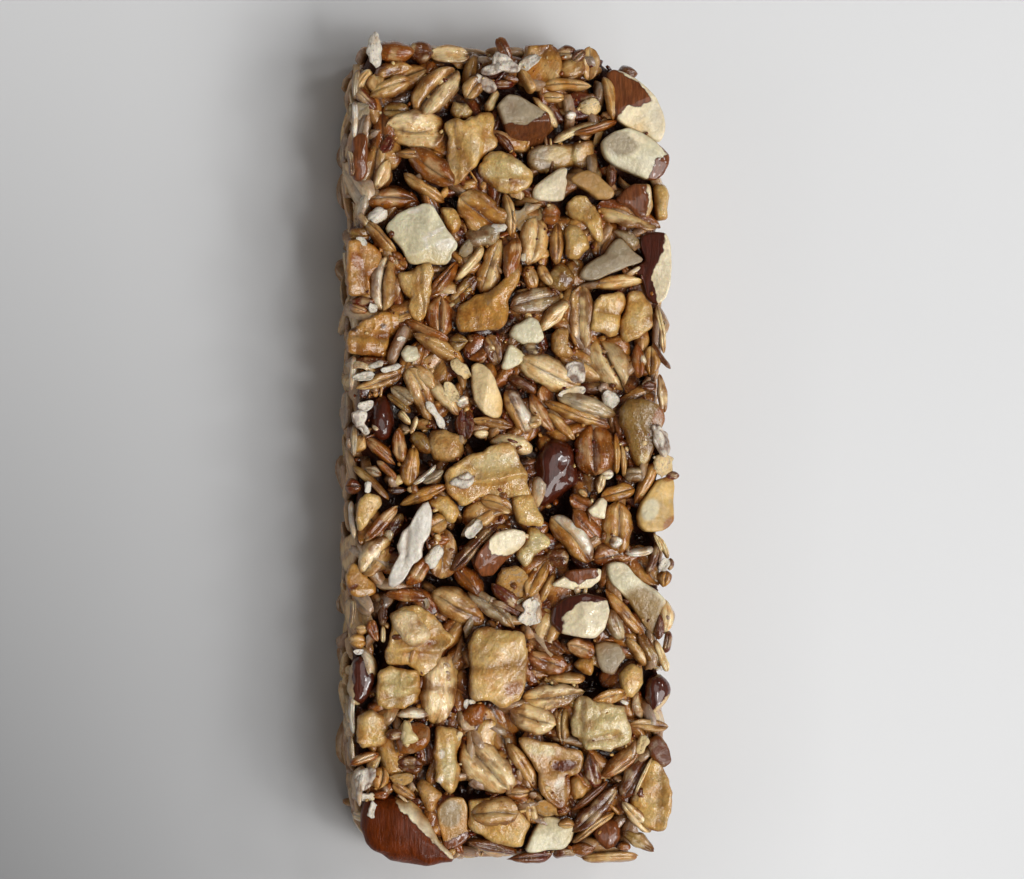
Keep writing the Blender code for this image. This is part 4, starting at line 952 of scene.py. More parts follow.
# Smaller chunks of fruit: look, height of the top, corners.
SMALL_FRUIT = (
    (
        "tan", 14.2,
        (
            (-10.2, 1.5), (-9.8, 2.6), (-8.2, 3.0), (-6.4, 2.0), (-5.6, 0.8), (-5.7, -0.4), (-6.6, -1.2),
            (-8.0, -1.2), (-9.2, -0.8), (-10.0, 0.2))),
    (
        "cream", 14.4,
        (
            (-3.2, 1.0), (-1.5, 2.2), (0.0, 2.4), (1.5, 2.0), (2.7, 0.8), (2.7, 0.0), (1.5, -0.2),
            (-1.0, 0.8))),
    (
        "pulp", 14.6,
        (
            (-0.1, -5.4), (0.2, -7.2), (0.8, -8.6), (2.0, -8.9), (3.9, -9.0), (4.2, -8.2), (3.4, -6.8),
            (2.7, -5.2), (1.5, -5.0))),
    (
        "pale pulp", 14.0,
        (
            (2.0, -9.0), (3.4, -9.2), (4.9, -10.6), (4.9, -11.4), (4.0, -11.8), (3.0, -12.6),
            (2.4, -13.8), (1.6, -14.0), (0.8, -12.6), (0.7, -11.8), (1.7, -11.2), (2.2, -10.2))),
    (
        "amber", 14.6,
        (
            (-13.8, -36.5), (-12.0, -36.5), (-10.4, -35.9), (-9.9, -35.0), (-10.0, -33.3), (-11.2, -32.7),
            (-13.2, -33.2), (-14.0, -35.0))),
    (
        "tan", 14.4,
        (
            (-11.7, -40.2), (-10.8, -39.5), (-8.3, -41.4), (-9.0, -42.5), (-9.6, -43.6), (-10.3, -43.3),
            (-11.0, -42.0))),
    (
        "pulp", 14.6,
        (
            (6.6, 27.4), (7.2, 28.1), (8.8, 27.8), (9.7, 26.5), (9.9, 25.0), (8.5, 23.8), (7.1, 23.9),
            (6.8, 25.0))),
    (
        "pulp", 14.2,
        (
            (18.0, 33.3), (19.3, 33.2), (19.9, 31.8), (19.6, 30.0), (19.6, 28.8), (18.3, 28.6),
            (18.1, 30.0))),
    (
        "tan", 14.2,
        (
            (5.0, 12.6), (5.1, 14.4), (6.0, 15.4), (7.2, 15.4), (7.3, 13.2), (8.0, 12.0), (7.4, 11.5),
            (5.8, 11.7))),
    (
        "pulp", 14.2,
        (
            (-10.2, -5.9), (-9.0, -5.2), (-7.8, -5.2), (-6.5, -6.5), (-6.2, -7.4), (-6.9, -8.6),
            (-7.9, -8.5), (-9.0, -7.2), (-9.9, -6.6))),
    (
        "pale pulp", 14.6,
        ((-7.0, 42.8), (-5.5, 42.6), (-4.8, 41.5), (-5.2, 40.6), (-6.6, 40.6), (-7.3, 41.5))),
    (
        "cream", 15.9,
        (
            (-14.7, -19.6), (-13.6, -19.0), (-12.0, -19.3), (-10.8, -20.6), (-9.9, -22.0), (-11.0, -23.3),
            (-12.2, -23.6), (-13.5, -22.5), (-14.4, -21.2))),
    ("pulp", 14.4, ((-8.8, 29.9), (-7.0, 29.7), (-6.1, 28.0), (-6.3, 27.0), (-7.1, 26.3), (-8.1, 28.0))),
    (
        "pulp", 14.4,
        (
            (13.5, -27.1), (14.2, -26.4), (15.1, -25.7), (16.4, -26.4), (16.5, -28.3), (16.0, -29.2),
            (15.0, -30.0), (13.9, -29.7))),
    (
        "gold", 14.0,
        ((7.9, -26.0), (9.0, -25.1), (10.3, -25.2), (10.4, -26.3), (10.0, -27.4), (9.2, -27.1))),
    (
        "grey", 14.0,
        (
            (12.5, 27.5), (14.0, 27.5), (15.5, 27.0), (16.2, 26.0), (15.5, 25.0), (14.5, 25.0),
            (13.5, 26.3))),
    (
        "amber", 14.0,
        ((-6.5, -32.0), (-5.0, -30.8), (-3.3, -30.3), (-3.0, -31.0), (-3.3, -33.0), (-5.0, -33.5))),
    ("tan", 13.8, ((7.5, -41.8), (7.5, -40.0), (8.3, -39.5), (9.8, -41.0), (9.0, -42.3), (8.0, -42.7))),
)

# Crumpled lumps of white husk: height of the top, corners.
HUSKS = (
    (
        15.6,
        (
            (-3.9, 46.0), (-3.6, 46.9), (-2.7, 47.2), (-2.6, 48.0), (-1.9, 48.8), (-1.0, 48.6),
            (-0.2, 47.8), (0.6, 47.2), (1.1, 46.5), (0.4, 46.1), (-0.8, 46.3), (-2.0, 46.0),
            (-3.0, 45.9))),
    (
        15.2,
        (
            (-4.6, 45.4), (-4.2, 46.0), (-3.2, 45.7), (-2.3, 45.2), (-2.0, 44.4), (-2.9, 43.9),
            (-3.9, 44.4))),
    (14.7, ((6.9, 9.3), (7.0, 10.6), (7.9, 11.1), (9.0, 11.0), (9.2, 9.7), (8.8, 8.8), (7.7, 8.8))),
    (14.2, ((14.0, 26.6), (14.8, 27.2), (15.8, 26.6), (16.3, 25.4), (15.4, 24.8), (14.6, 25.4))),
    (
        15.0,
        (
            (-19.6, 4.8), (-18.6, 5.2), (-17.7, 4.7), (-17.9, 3.4), (-17.1, 2.2), (-17.9, 1.9),
            (-18.9, 2.8), (-19.6, 3.8))),
    (
        14.8,
        (
            (-19.0, -38.4), (-17.8, -38.0), (-16.6, -38.2), (-16.6, -39.2), (-17.4, -40.2),
            (-18.6, -40.6), (-19.2, -39.6))),
    (15.7, ((-7.5, -3.7), (-6.3, -2.7), (-5.3, -2.0), (-5.0, -3.0), (-5.5, -4.3), (-6.6, -4.5))),
    (15.4, ((17.3, 3.2), (18.2, 3.7), (19.1, 2.6), (19.7, 0.6), (19.3, -0.7), (18.5, -0.3), (17.9, 1.2))),
)

# The oats, grains, sticks and flakes on top: x, y, length, width, heading, look, shape, lift.
# A look of two names gives the lobe on the right of the heading first.
TOP_ROWS = (
    (-11.7, 39.4, 6.6, 4.0, 0, "cream", "oat", 0.4),
    (-10.8, 36.3, 6.0, 1.2, 0, "tan", "stick", 0.0),
    (-9.2, 44.0, 6.8, 3.8, 50, "cream/tan", "fold", 0.3),
    (-14.3, 48.8, 5.0, 2.6, 0, "amber", "grain", 0.0),
    (-11.0, 49.0, 3.0, 2.4, 0, "brown", "grain", -0.3),
    (-14.5, 46.6, 4.4, 1.9, 15, "tan", "grain", 0.0),
    (-16.5, 44.8, 2.2, 2.0, 90, "tan", "grain", 0.2),
    (-14.7, 44.4, 5.0, 2.2, 20, "tan", "grain", 0.0),
    (-18.0, 45.3, 2.8, 1.2, 55, "cream", "stick", 0.0),
    (-17.8, 43.0, 3.5, 1.6, -45, "red", "grain", 0.0),
    (-18.5, 41.5, 2.2, 1.8, 30, "grey", "flake", 0.0),
    (-14.0, 41.5, 3.0, 2.0, 0, "olive", "oat", -1.0),
    (-15.2, 37.4, 2.4, 1.4, 60, "red", "grain", -0.3),
    (-16.8, 49.0, 4.0, 1.4, 90, "white", "flake", 0.6),
    (-7.5, 48.5, 4.5, 2.0, 0, "cream", "disc", -0.5),
    (-1.0, 45.1, 3.0, 1.1, 0, "red", "stick", 0.0),
    (-1.0, 49.0, 3.2, 1.4, -60, "brown", "oat", 0.0),
    (-4.6, 44.5, 3.0, 2.0, 50, "tan", "oat", -0.3),
    (-2.2, 43.0, 2.8, 1.2, 60, "cream", "stick", 0.0),
    (3.9, 47.5, 5.4, 4.8, 60, "gold", "disc", 0.2),
    (2.4, 47.8, 2.8, 1.2, 30, "white", "flake", 0.6),
    (2.0, 45.5, 3.0, 1.2, -60, "tan", "stick", 0.0),
    (7.5, 47.2, 3.7, 2.5, 20, "tan", "disc", 0.0),
    (6.8, 45.1, 5.7, 1.4, 0, "gold", "stick", 0.2),
    (5.3, 43.6, 2.6, 1.5, 0, "tan", "oat", 0.0),
    (8.6, 42.8, 5.0, 3.2, 0, "red", "oat", 0.0),
    (9.8, 42.6, 2.6, 1.5, 10, "cream", "flake", 0.3),
    (7.4, 41.4, 1.3, 1.2, 0, "white", "grain", 0.2),
    (4.4, 41.8, 4.5, 1.2, -50, "cream", "stick", 0.3),
    (-0.7, 38.0, 3.4, 1.2, -45, "brown", "stick", 0.0),
    (8.5, 39.7, 6.3, 1.0, 22, "cream", "stick", 0.2),
    (10.5, 39.9, 5.5, 1.1, 17, "amber", "stick", 0.0),
    (12.3, 43.5, 5.0, 1.2, -78, "gold", "stick", 0.2),
    (7.0, 49.2, 2.5, 1.5, 0, "brown", "grain", -1.0),
    (8.5, 48.8, 2.0, 1.4, 40, "brown", "grain", -1.0),
    (10.0, 48.0, 3.7, 2.0, 90, "tan", "oat", -0.3),
    (15.0, 47.0, 2.2, 2.0, 0, "brown", "grain", -1.5),
    (12.3, 34.6, 2.0, 1.2, 0, "amber", "grain", -0.5),
    (-15.8, 33.7, 3.5, 1.6, 65, "cream", "grain", 0.1),
    (-14.3, 30.7, 5.6, 2.6, 0, "amber", "grain", 0.2),
    (-9.8, 34.8, 6.5, 3.0, -35, "amber", "oat", 0.3),
    (-10.7, 32.3, 5.7, 1.4, -33, "tan", "stick", 0.1),
    (-16.3, 28.7, 2.3, 1.5, 30, "white", "flake", 0.4),
    (-18.0, 28.2, 1.8, 0.8, -50, "cream", "stick", 0.0),
    (-16.0, 26.0, 4.8, 1.4, -47, "tan", "stick", 0.1),
    (-18.5, 26.5, 2.5, 1.5, 0, "olive", "grain", -0.5),
    (-18.3, 25.5, 1.4, 0.8, -35, "white", "flake", 0.3),
    (-15.5, 20.5, 6.4, 3.4, 82, "tan/white", "fold", 0.5),
    (-13.8, 23.2, 2.5, 1.5, -50, "gold", "oat", 0.0),
    (-8.6, 16.5, 4.8, 3.1, 90, "amber", "fold", 0.2),
    (-18.0, 18.3, 2.8, 1.2, 0, "red", "grain", 0.0),
    (-18.5, 17.3, 2.4, 1.0, -20, "amber", "stick", 0.0),
    (-17.0, 17.5, 1.0, 0.8, 0, "white", "flake", 0.3),
    (-8.0, 21.2, 5.0, 1.4, 50, "amber", "stick", 0.0),
    (-5.0, 32.8, 1.8, 1.6, 0, "tan", "grain", 0.0),
    (-3.6, 29.3, 6.5, 4.2, -35, "gold", "oat", 0.4),
    (-1.5, 27.5, 1.6, 1.0, 0, "white", "flake", 0.5),
    (-3.5, 26.5, 4.0, 3.0, 0, "grey", "disc", -0.6),
    (-0.2, 29.0, 5.0, 1.3, -80, "tan", "stick", 0.0),
    (2.0, 29.0, 3.2, 2.6, 35, "grey", "flake", 0.2),
    (2.9, 26.0, 5.8, 3.4, 80, "cream", "oat", 0.3),
    (1.5, 23.8, 1.0, 0.6, 90, "white", "flake", 0.3),
    (5.0, 29.2, 2.3, 2.3, 0, "amber", "grain", -0.2),
    (5.7, 25.6, 4.8, 1.7, 90, "tan", "grain", 0.1),
    (-5.1, 22.9, 5.0, 1.2, 50, "cream", "stick", 0.2),
    (-5.5, 24.9, 2.5, 1.0, 50, "grey", "flake", 0.0),
    (-2.3, 22.8, 6.5, 2.8, 70, "cream/tan", "oat", 0.4),
    (0.0, 23.5, 5.0, 2.0, 80, "amber", "grain", 0.1),
    (-5.7, 19.8, 4.3, 1.8, 45, "olive", "oat", 0.2),
    (2.5, 21.5, 3.0, 1.8, -70, "tan", "grain", 0.0),
    (4.3, 21.8, 2.8, 1.4, -60, "tan", "grain", 0.0),
    (3.2, 18.6, 6.5, 2.8, 15, "grey", "oat", 0.3),
    (5.3, 16.8, 4.8, 1.8, 45, "cream", "grain", 0.4),
    (6.5, 21.5, 3.0, 3.0, -30, "olive", "disc", -0.2),
    (12.4, 34.0, 2.5, 1.2, 90, "brown", "stick", 0.0),
    (14.7, 29.0, 7.5, 2.6, -18, "cream/amber", "oat", 0.3),
    (13.2, 21.0, 6.5, 1.8, 5, "cream", "grain", 0.3),
    (8.8, 16.5, 7.0, 2.6, 90, "cream/tan", "oat", 0.3),
    (18.8, 15.3, 5.5, 0.9, -80, "cream", "stick", 0.1),
    (18.8, 12.0, 3.7, 0.7, -57, "brown", "stick", 0.0),
    (-17.3, 10.8, 4.5, 1.5, 0, "brown", "grain", -0.2),
    (-16.7, 10.5, 2.0, 0.8, 20, "white", "flake", 0.3),
    (-18.0, 9.2, 2.5, 0.8, 8, "white", "flake", 0.3),
    (-14.9, 10.2, 2.3, 0.8, 12, "white", "flake", 0.3),
    (-16.0, 8.8, 5.8, 1.6, 20, "tan", "grain", 0.2),
    (-13.5, 13.7, 1.0, 0.6, 0, "white", "flake", 0.5),
    (-10.3, 14.8, 5.5, 1.2, -25, "amber", "stick", 0.2),
    (-8.7, 12.8, 6.5, 2.0, -27, "tan", "grain", 0.3),
    (-11.0, 7.2, 6.0, 2.7, -65, "tan", "oat", 0.3),
    (-9.2, 4.4, 3.6, 0.9, -55, "white", "flake", 0.5),
    (-10.5, 9.2, 3.5, 1.5, -45, "tan", "grain", 0.1),
    (-8.3, 6.8, 5.5, 1.6, -50, "cream", "grain", 0.3),
    (-7.3, 7.3, 2.5, 1.1, -55, "cream", "flake", 0.5),
    (-6.3, 10.2, 3.0, 1.4, -35, "cream", "flake", 0.3),
    (-6.0, 6.2, 1.6, 1.4, 20, "white", "grain", 0.2),
    (-13.3, 7.0, 3.0, 1.8, -40, "grey", "oat", 0.0),
    (-13.6, 6.0, 3.4, 1.0, -38, "olive", "stick", 0.1),
    (-17.8, 5.7, 1.8, 0.9, 20, "white", "flake", 0.5),
    (-13.6, 0.8, 4.0, 1.5, 95, "amber", "grain", 0.2),
    (-13.0, 4.2, 2.0, 0.8, -50, "cream", "stick", 0.2),
    (-11.9, 3.3, 2.0, 0.6, 70, "cream", "stick", 0.3),
    (-11.0, 1.2, 3.0, 1.8, -50, "olive", "grain", 0.0),
    (-16.2, 0.8, 3.5, 1.2, -35, "amber", "stick", 0.1),
    (-18.5, 1.0, 2.2, 1.6, 60, "gold", "grain", 0.0),
    (-6.5, 13.5, 2.2, 2.0, 0, "olive", "grain", -0.2),
    (-4.2, 12.7, 3.2, 3.0, 40, "amber", "oat", 0.1),
    (-2.2, 12.6, 3.4, 2.2, -70, "brown", "oat", 0.1),
    (2.6, 12.5, 2.5, 2.0, 0, "dark", "grain", -0.8),
    (4.9, 9.6, 7.5, 3.5, -25, "cream", "oat", 0.2),
    (7.4, 7.4, 3.2, 1.1, 12, "white", "flake", 0.4),
    (9.5, 5.8, 7.5, 2.2, -18, "grey", "grain", 0.0),
    (1.6, 8.3, 3.8, 1.3, -30, "brown", "stick", 0.1),
    (0.9, 5.0, 5.6, 2.3, -65, "tan/white", "oat", 0.3),
    (4.0, 4.7, 5.2, 1.6, -55, "amber", "grain", 0.1),
    (6.3, 3.3, 4.2, 1.2, -45, "gold", "grain", 0.1),
    (8.2, 4.6, 8.0, 1.6, -20, "gold", "grain", 0.5),
    (3.0, 3.7, 1.6, 1.5, 0, "cream", "grain", 0.0),
    (-2.3, 3.6, 4.8, 1.2, -8, "tan", "grain", 0.1),
    (-5.5, 3.5, 3.5, 2.0, 90, "red", "oat", 0.0),
    (-3.6, 2.3, 1.8, 1.2, 0, "cream", "grain", 0.0),
    (12.7, 11.0, 6.6, 4.6, -65, "cream", "fold", 0.5),
    (16.0, 11.3, 4.0, 1.6, 90, "amber", "grain", 0.0),
    (17.7, 11.4, 3.4, 1.8, 90, "gold", "grain", 0.0),
    (12.3, 6.7, 2.2, 1.6, -20, "white", "flake", 0.3),
    (18.9, 7.3, 4.5, 1.2, -85, "cream", "grain", 0.0),
    (17.2, 8.2, 1.8, 1.3, 0, "brown", "grain", 0.0),
    (10.5, 0.5, 6.0, 4.3, 90, "amber", "oat", 0.2),
    (13.2, 0.0, 4.5, 0.9, 90, "gold", "stick", 0.1),
    (14.1, -1.0, 3.8, 0.7, -85, "tan", "stick", 0.0),
    (-15.9, 0.0, 4.5, 1.1, -42, "amber", "stick", 0.1),
    (-12.3, -1.8, 4.6, 2.3, 85, "gold", "grain", 0.4),
    (-10.6, -2.8, 3.3, 0.6, 41, "white", "stick", 0.5),
    (-9.6, -2.9, 2.8, 1.2, 30, "grey", "grain", 0.0),
    (-10.7, -5.1, 5.5, 1.4, 22, "gold", "grain", 0.3),
    (-17.0, -3.6, 5.5, 0.9, -42, "olive", "stick", 0.1),
    (-16.8, -2.3, 2.0, 1.2, -20, "grey", "grain", -0.3),
    (-15.1, -2.2, 3.0, 0.8, -45, "amber", "stick", 0.0),
    (-13.8, -4.6, 2.2, 1.0, 0, "dark", "grain", -0.6),
    (-12.2, -4.5, 1.0, 0.8, 0, "cream", "grain", 0.0),
    (-19.2, -4.2, 1.8, 1.8, 0, "red", "grain", 0.0),
    (-17.5, -4.2, 1.3, 0.9, 90, "white", "flake", 0.5),
    (-15.9, -8.5, 5.2, 1.5, 45, "amber", "grain", 0.4),
    (-14.2, -9.0, 3.5, 2.0, 60, "brown", "grain", -0.2),
    (-16.5, -12.6, 5.2, 3.6, 45, "tan/cream", "oat", 0.2),
    (-9.2, -8.6, 2.2, 2.0, 30, "gold", "oat", 0.0),
    (-8.7, -10.8, 2.5, 1.5, 0, "amber", "grain", 0.0),
    (-8.4, -12.3, 5.5, 3.3, 90, "tan", "oat", 0.2),
    (-9.4, -12.6, 2.6, 1.5, 60, "white", "flake", 0.5),
    (-11.4, -14.5, 4.0, 1.9, 55, "amber", "grain", 0.1),
    (-3.5, -7.4, 4.3, 2.8, 30, "tan", "oat", 0.2),
    (-4.5, -9.2, 2.6, 1.3, 42, "white", "flake", 0.6),
    (-1.8, -6.3, 3.8, 1.8, -20, "tan", "oat", -0.2),
    (-4.2, -11.3, 7.8, 1.5, 43, "brown", "stick", 0.1),
    (-5.0, -15.5, 4.7, 2.4, -50, "amber", "grain", 0.1),
    (0.3, -15.8, 3.5, 3.0, 30, "tan", "flake", 0.2),
    (-0.6, -17.5, 4.0, 2.0, -40, "red", "grain", 0.1),
    (3.3, -15.2, 5.0, 1.9, 60, "gold", "oat", 0.2),
    (4.4, -16.6, 3.6, 1.0, 65, "tan", "stick", 0.0),
    (5.8, -13.0, 2.6, 2.4, 0, "brown", "oat", 0.0),
    (7.7, -10.5, 7.0, 3.0, -50, "gold/white", "oat", 0.4),
    (12.0, -2.6, 1.5, 1.3, 0, "white", "grain", 0.2),
    (11.2, -3.8, 2.3, 1.2, 75, "cream", "grain", 0.2),
    (15.4, -2.8, 2.3, 1.9, 0, "grey", "grain", 0.1),
    (16.8, -3.8, 5.3, 1.3, 65, "gold", "stick", 0.2),
    (13.3, -4.9, 4.0, 1.8, 15, "gold", "oat", 0.1),
    (19.0, -1.5, 2.5, 2.0, 80, "cream", "flake", 0.2),
    (20.2, -2.8, 1.6, 1.0, 0, "red", "grain", -0.5),
    (8.7, -6.1, 2.8, 1.8, -30, "amber", "oat", 0.0),
    (9.6, -9.2, 5.5, 2.4, -48, "amber", "oat", 0.2),
    (8.9, -4.9, 1.3, 0.8, -40, "tan", "grain", 0.6),
    (13.3, -9.1, 6.0, 3.8, 90, "gold", "oat", 0.4),
    (13.0, -11.0, 1.6, 1.4, 0, "white", "grain", 0.4),
    (16.0, -12.1, 3.2, 0.9, 8, "white", "stick", 0.3),
    (17.8, -13.0, 4.3, 0.9, 70, "brown", "stick", 0.1),
    (19.0, -11.5, 3.0, 0.7, -65, "cream", "stick", 0.1),
    (18.4, -11.0, 2.4, 0.5, -65, "cream", "stick", 0.1),
    (19.0, -13.7, 1.5, 1.0, 60, "white", "flake", 0.3),
    (19.3, -15.5, 2.0, 1.7, 80, "gold", "grain", 0.0),
    (19.9, -13.7, 1.4, 1.0, 90, "red", "grain", -0.3),
    (-12.8, -17.3, 4.8, 1.5, -5, "amber", "grain", 0.1),
    (-15.7, -19.5, 3.0, 0.9, 90, "brown", "stick", 0.0),
    (-10.3, -18.4, 1.2, 0.7, 90, "grey", "flake", 0.0),
    (-6.4, -18.8, 6.7, 3.6, -28, "tan", "oat", 0.5),
    (-18.3, -21.5, 1.4, 1.2, 0, "tan", "grain", 0.0),
    (-16.8, -21.5, 2.5, 1.2, -70, "amber", "oat", 0.0),
    (-15.6, -22.0, 2.0, 0.6, 90, "cream", "stick", 0.2),
    (-18.7, -22.8, 2.0, 1.8, 0, "gold", "grain", 0.0),
    (-18.6, -24.0, 1.2, 0.5, 0, "white", "flake", 0.2),
    (-12.0, -31.6, 3.8, 1.1, 3, "white", "stick", 0.4),
    (-12.8, -34.0, 3.0, 1.6, 90, "cream", "grain", 0.1),
    (-14.3, -34.0, 2.0, 1.4, 0, "brown", "grain", -0.4),
    (-2.3, -19.1, 6.5, 2.0, -40, "grey", "grain", 0.3),
    (-0.2, -19.1, 5.0, 0.8, -28, "brown", "stick", 0.1),
    (2.4, -19.4, 3.2, 2.0, 80, "white", "flake", 0.3),
    (4.3, -23.2, 5.0, 2.4, -25, "brown", "oat", 0.0),
    (4.5, -25.6, 5.0, 2.4, -20, "amber", "oat", 0.0),
    (5.4, -29.6, 7.0, 2.6, 5, "cream", "oat", 0.4),
    (7.0, -27.6, 4.5, 1.2, 0, "tan", "stick", 0.0),
    (2.7, -32.3, 5.5, 3.5, -20, "cream", "oat", 0.4),
    (-8.5, -28.7, 7.7, 3.9, 80, "cream", "disc", 0.5),
    (-5.5, -30.5, 1.3, 0.6, 75, "white", "flake", 0.4),
    (-4.8, -30.3, 0.8, 0.6, 0, "white", "flake", 0.4),
    (-6.4, -34.4, 1.2, 0.7, 60, "cream", "flake", 0.2),
    (12.9, -21.1, 4.0, 2.0, -65, "grey", "grain", 0.0),
    (14.0, -19.6, 7.0, 1.5, -50, "gold", "grain", 0.4),
    (15.6, -24.3, 4.0, 1.3, -55, "tan", "grain", 0.2),
    (17.2, -24.2, 4.5, 1.5, -60, "olive", "grain", 0.1),
    (18.5, -21.3, 3.0, 1.0, 90, "red", "stick", 0.0),
    (19.6, -20.2, 4.0, 1.6, 90, "cream", "grain", -0.3),
    (19.7, -23.3, 2.5, 1.0, 80, "red", "stick", -0.2),
    (18.8, -25.0, 4.0, 0.9, -70, "cream", "stick", 0.1),
    (8.7, -23.9, 3.3, 2.0, -20, "amber", "oat", 0.2),
    (12.0, -29.8, 4.0, 1.6, 15, "gold", "oat", 0.1),
    (14.0, -30.5, 1.2, 0.5, -25, "white", "stick", 0.3),
    (17.2, -33.5, 4.5, 1.4, -5, "tan", "oat", 0.0),
    (6.6, -33.5, 4.5, 1.6, 90, "olive", "grain", 0.0),
    (-17.8, -37.0, 3.5, 1.3, 20, "amber", "grain", 0.0),
    (-16.0, -39.4, 2.6, 2.2, 80, "gold", "grain", 0.0),
    (-12.3, -38.0, 3.0, 2.0, 0, "brown", "grain", -0.5),
    (-13.5, -39.5, 2.5, 1.0, 0, "tan", "flake", 0.0),
    (-13.0, -41.0, 3.0, 1.2, -30, "tan", "oat", 0.0),
    (-17.5, -41.7, 1.8, 1.0, 0, "white", "flake", 0.0),
    (-16.9, -43.0, 1.8, 1.3, 80, "white", "flake", 0.3),
    (-16.0, -41.5, 2.0, 1.0, 0, "amber", "grain", 0.0),
    (-2.8, -38.2, 7.5, 4.6, -50, "cream", "oat", 0.5),
    (1.6, -38.2, 6.3, 1.9, -58, "tan", "grain", 0.4),
    (4.4, -43.4, 2.6, 1.4, -30, "tan", "flake", 0.2),
    (2.6, -43.6, 3.0, 1.5, 90, "cream", "grain", 0.0),
    (1.0, -41.5, 3.0, 2.0, 0, "amber", "grain", -0.2),
    (2.7, -41.7, 1.0, 0.8, 0, "white", "grain", 0.2),
    (-2.0, -48.0, 6.0, 1.4, -13, "brown", "grain", 0.0),
    (2.6, -49.5, 5.1, 1.3, 3, "red", "grain", -0.5),
    (6.8, -45.3, 2.0, 1.3, 0, "tan", "grain", 0.3),
    (7.0, -49.0, 3.0, 1.0, 0, "brown", "stick", -0.5),
    (10.2, -38.8, 4.4, 2.0, -75, "red", "grain", 0.3),
    (13.8, -37.8, 6.0, 2.0, 37, "amber", "grain", 0.3),
    (16.3, -35.8, 2.0, 1.0, 60, "cream", "flake", 0.3),
    (10.0, -42.0, 5.0, 1.0, 38, "brown", "stick", 0.2),
    (10.5, -43.7, 7.0, 1.9, 43, "brown", "oat", 0.3),
    (10.3, -45.8, 6.0, 1.2, 33, "tan", "stick", 0.3),
    (15.4, -39.8, 5.5, 2.5, 55, "brown", "oat", 0.2),
    (16.4, -39.6, 4.8, 0.5, 63, "cream", "stick", 0.4),
    (15.7, -44.6, 5.3, 1.7, -45, "cream", "grain", 0.2),
    (16.0, -47.6, 4.3, 1.6, -30, "olive", "grain", -0.3),
    (14.2, -48.3, 1.6, 1.0, 0, "amber", "grain", -0.3),
    (12.6, -49.8, 6.7, 1.2, 0, "tan", "stick", -1.0),
    (9.0, -48.6, 3.0, 1.5, 0, "amber", "grain", -0.4),
    (-2.0, -43.7, 5.5, 3.2, 0, "tan", "oat", 0.8),
)


# ---------------------------------------------------------------------------------------------
# The CAD solids as guides.
# ---------------------------------------------------------------------------------------------

def cad_mesh(name):
    """Points (mm) and triangles of a CAD node."""
    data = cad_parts[name].data
    points = np.empty(len(data.vertices) * 3)
    data.vertices.foreach_get("co", points)
    data.calc_loop_triangles()
    triangles = np.empty(len(data.loop_triangles) * 3, np.int32)
    data.loop_triangles.foreach_get("vertices", triangles)
    return points.reshape(-1, 3) / MM, triangles.reshape(-1, 3)


def cad_tree(name):
    """A CAD node, ready for rays."""
    points, triangles = cad_mesh(name)
    return BVHTree.FromPolygons([Vector(p) for p in points], [list(map(int, t)) for t in triangles])


MASS_TREE = cad_tree("oat_mass")
HALF_LENGTH = 49.9
# Rays start this far out. Walls are met at this height, and kept this far from the ends.
FAR = 60.0
WALL_HEIGHT = 6.0
END_MARGIN = 0.3
# Where a wall is taken to be if no ray meets it.
NO_WALL = 10.0


def wall_x(y, side):
    """Where the left (-1) or right (+1) wall of the CAD mass is."""
    y = max(-HALF_LENGTH + END_MARGIN, min(HALF_LENGTH - END_MARGIN, y))
    hit = MASS_TREE.ray_cast(Vector((side * FAR, y, WALL_HEIGHT)), Vector((-side, 0, 0)))[0]
    return hit.x if hit else side * NO_WALL


# The rows at which the walls are found, and how often their line is smoothed.
ROWS_Y = np.linspace(-HALF_LENGTH, HALF_LENGTH, 200)
WALL_SMOOTHING = 6


def wall_line(side):
    """The wall's place at every row, smoothed along the bar."""
    line = np.array([wall_x(y, side) for y in ROWS_Y])
    for _ in range(WALL_SMOOTHING):
        line[1:-1] = (line[:-2] + 2 * line[1:-1] + line[2:]) / 4
    return line


LEFT_LINE = wall_line(-1)
RIGHT_LINE = wall_line(1)


def depth_inside(points):
    """How far points lie inside the bar's walls, ends and base."""
    left = np.interp(points[:, 1], ROWS_Y, LEFT_LINE)
    right = np.interp(points[:, 1], ROWS_Y, RIGHT_LINE)
    sides = np.minimum(points[:, 0] - left, right - points[:, 0])
    ends = HALF_LENGTH - np.abs(points[:, 1])
    return np.minimum(np.minimum(sides, ends), points[:, 2])


# ---------------------------------------------------------------------------------------------
# The height of what has been laid so far, seen from above.
# ---------------------------------------------------------------------------------------------

# The side of a cell, and how many cells there are.
CELL = 0.4
GRID_X, GRID_Y = 115, 265


class Skyline:
    """The top of the heap on a grid of square cells."""

    def __init__(self, ground):
        self.height = np.full((GRID_X, GRID_Y), ground)

    def cells(self, points):
        """The cell that each point lies over."""
        ix = np.clip(((points[:, 0] / CELL) + GRID_X / 2).astype(int), 0, GRID_X - 1)
        iy = np.clip(((points[:, 1] / CELL) + GRID_Y / 2).astype(int), 0, GRID_Y - 1)
        return ix, iy

    def add(self, points):
        np.maximum.at(self.height, self.cells(points), points[:, 2])

    def under(self, points):
        """The height below each point."""
        return self.height[self.cells(points)]

    def softened(self, passes):
        """The skyline averaged with its surroundings: about sqrt(passes / 3) cells around."""
        soft = self.height.copy()
        for _ in range(passes):
            padded = np.pad(soft, 1, mode="edge")
            soft = (padded[:-2, 1:-1] + padded[2:, 1:-1] + padded[1:-1, :-2]
                    + padded[1:-1, 2:] + 2 * soft) / 6
        return soft


# ---------------------------------------------------------------------------------------------
# The core: syrup and crumbs, tinted dark as painted shade for the gaps, a little inside the bar's skin.
# ---------------------------------------------------------------------------------------------

CORE_INSET = 1.2
CORE_TOP = 11.4
CORE_BASE = 0.6
CORE_STEP = 0.36
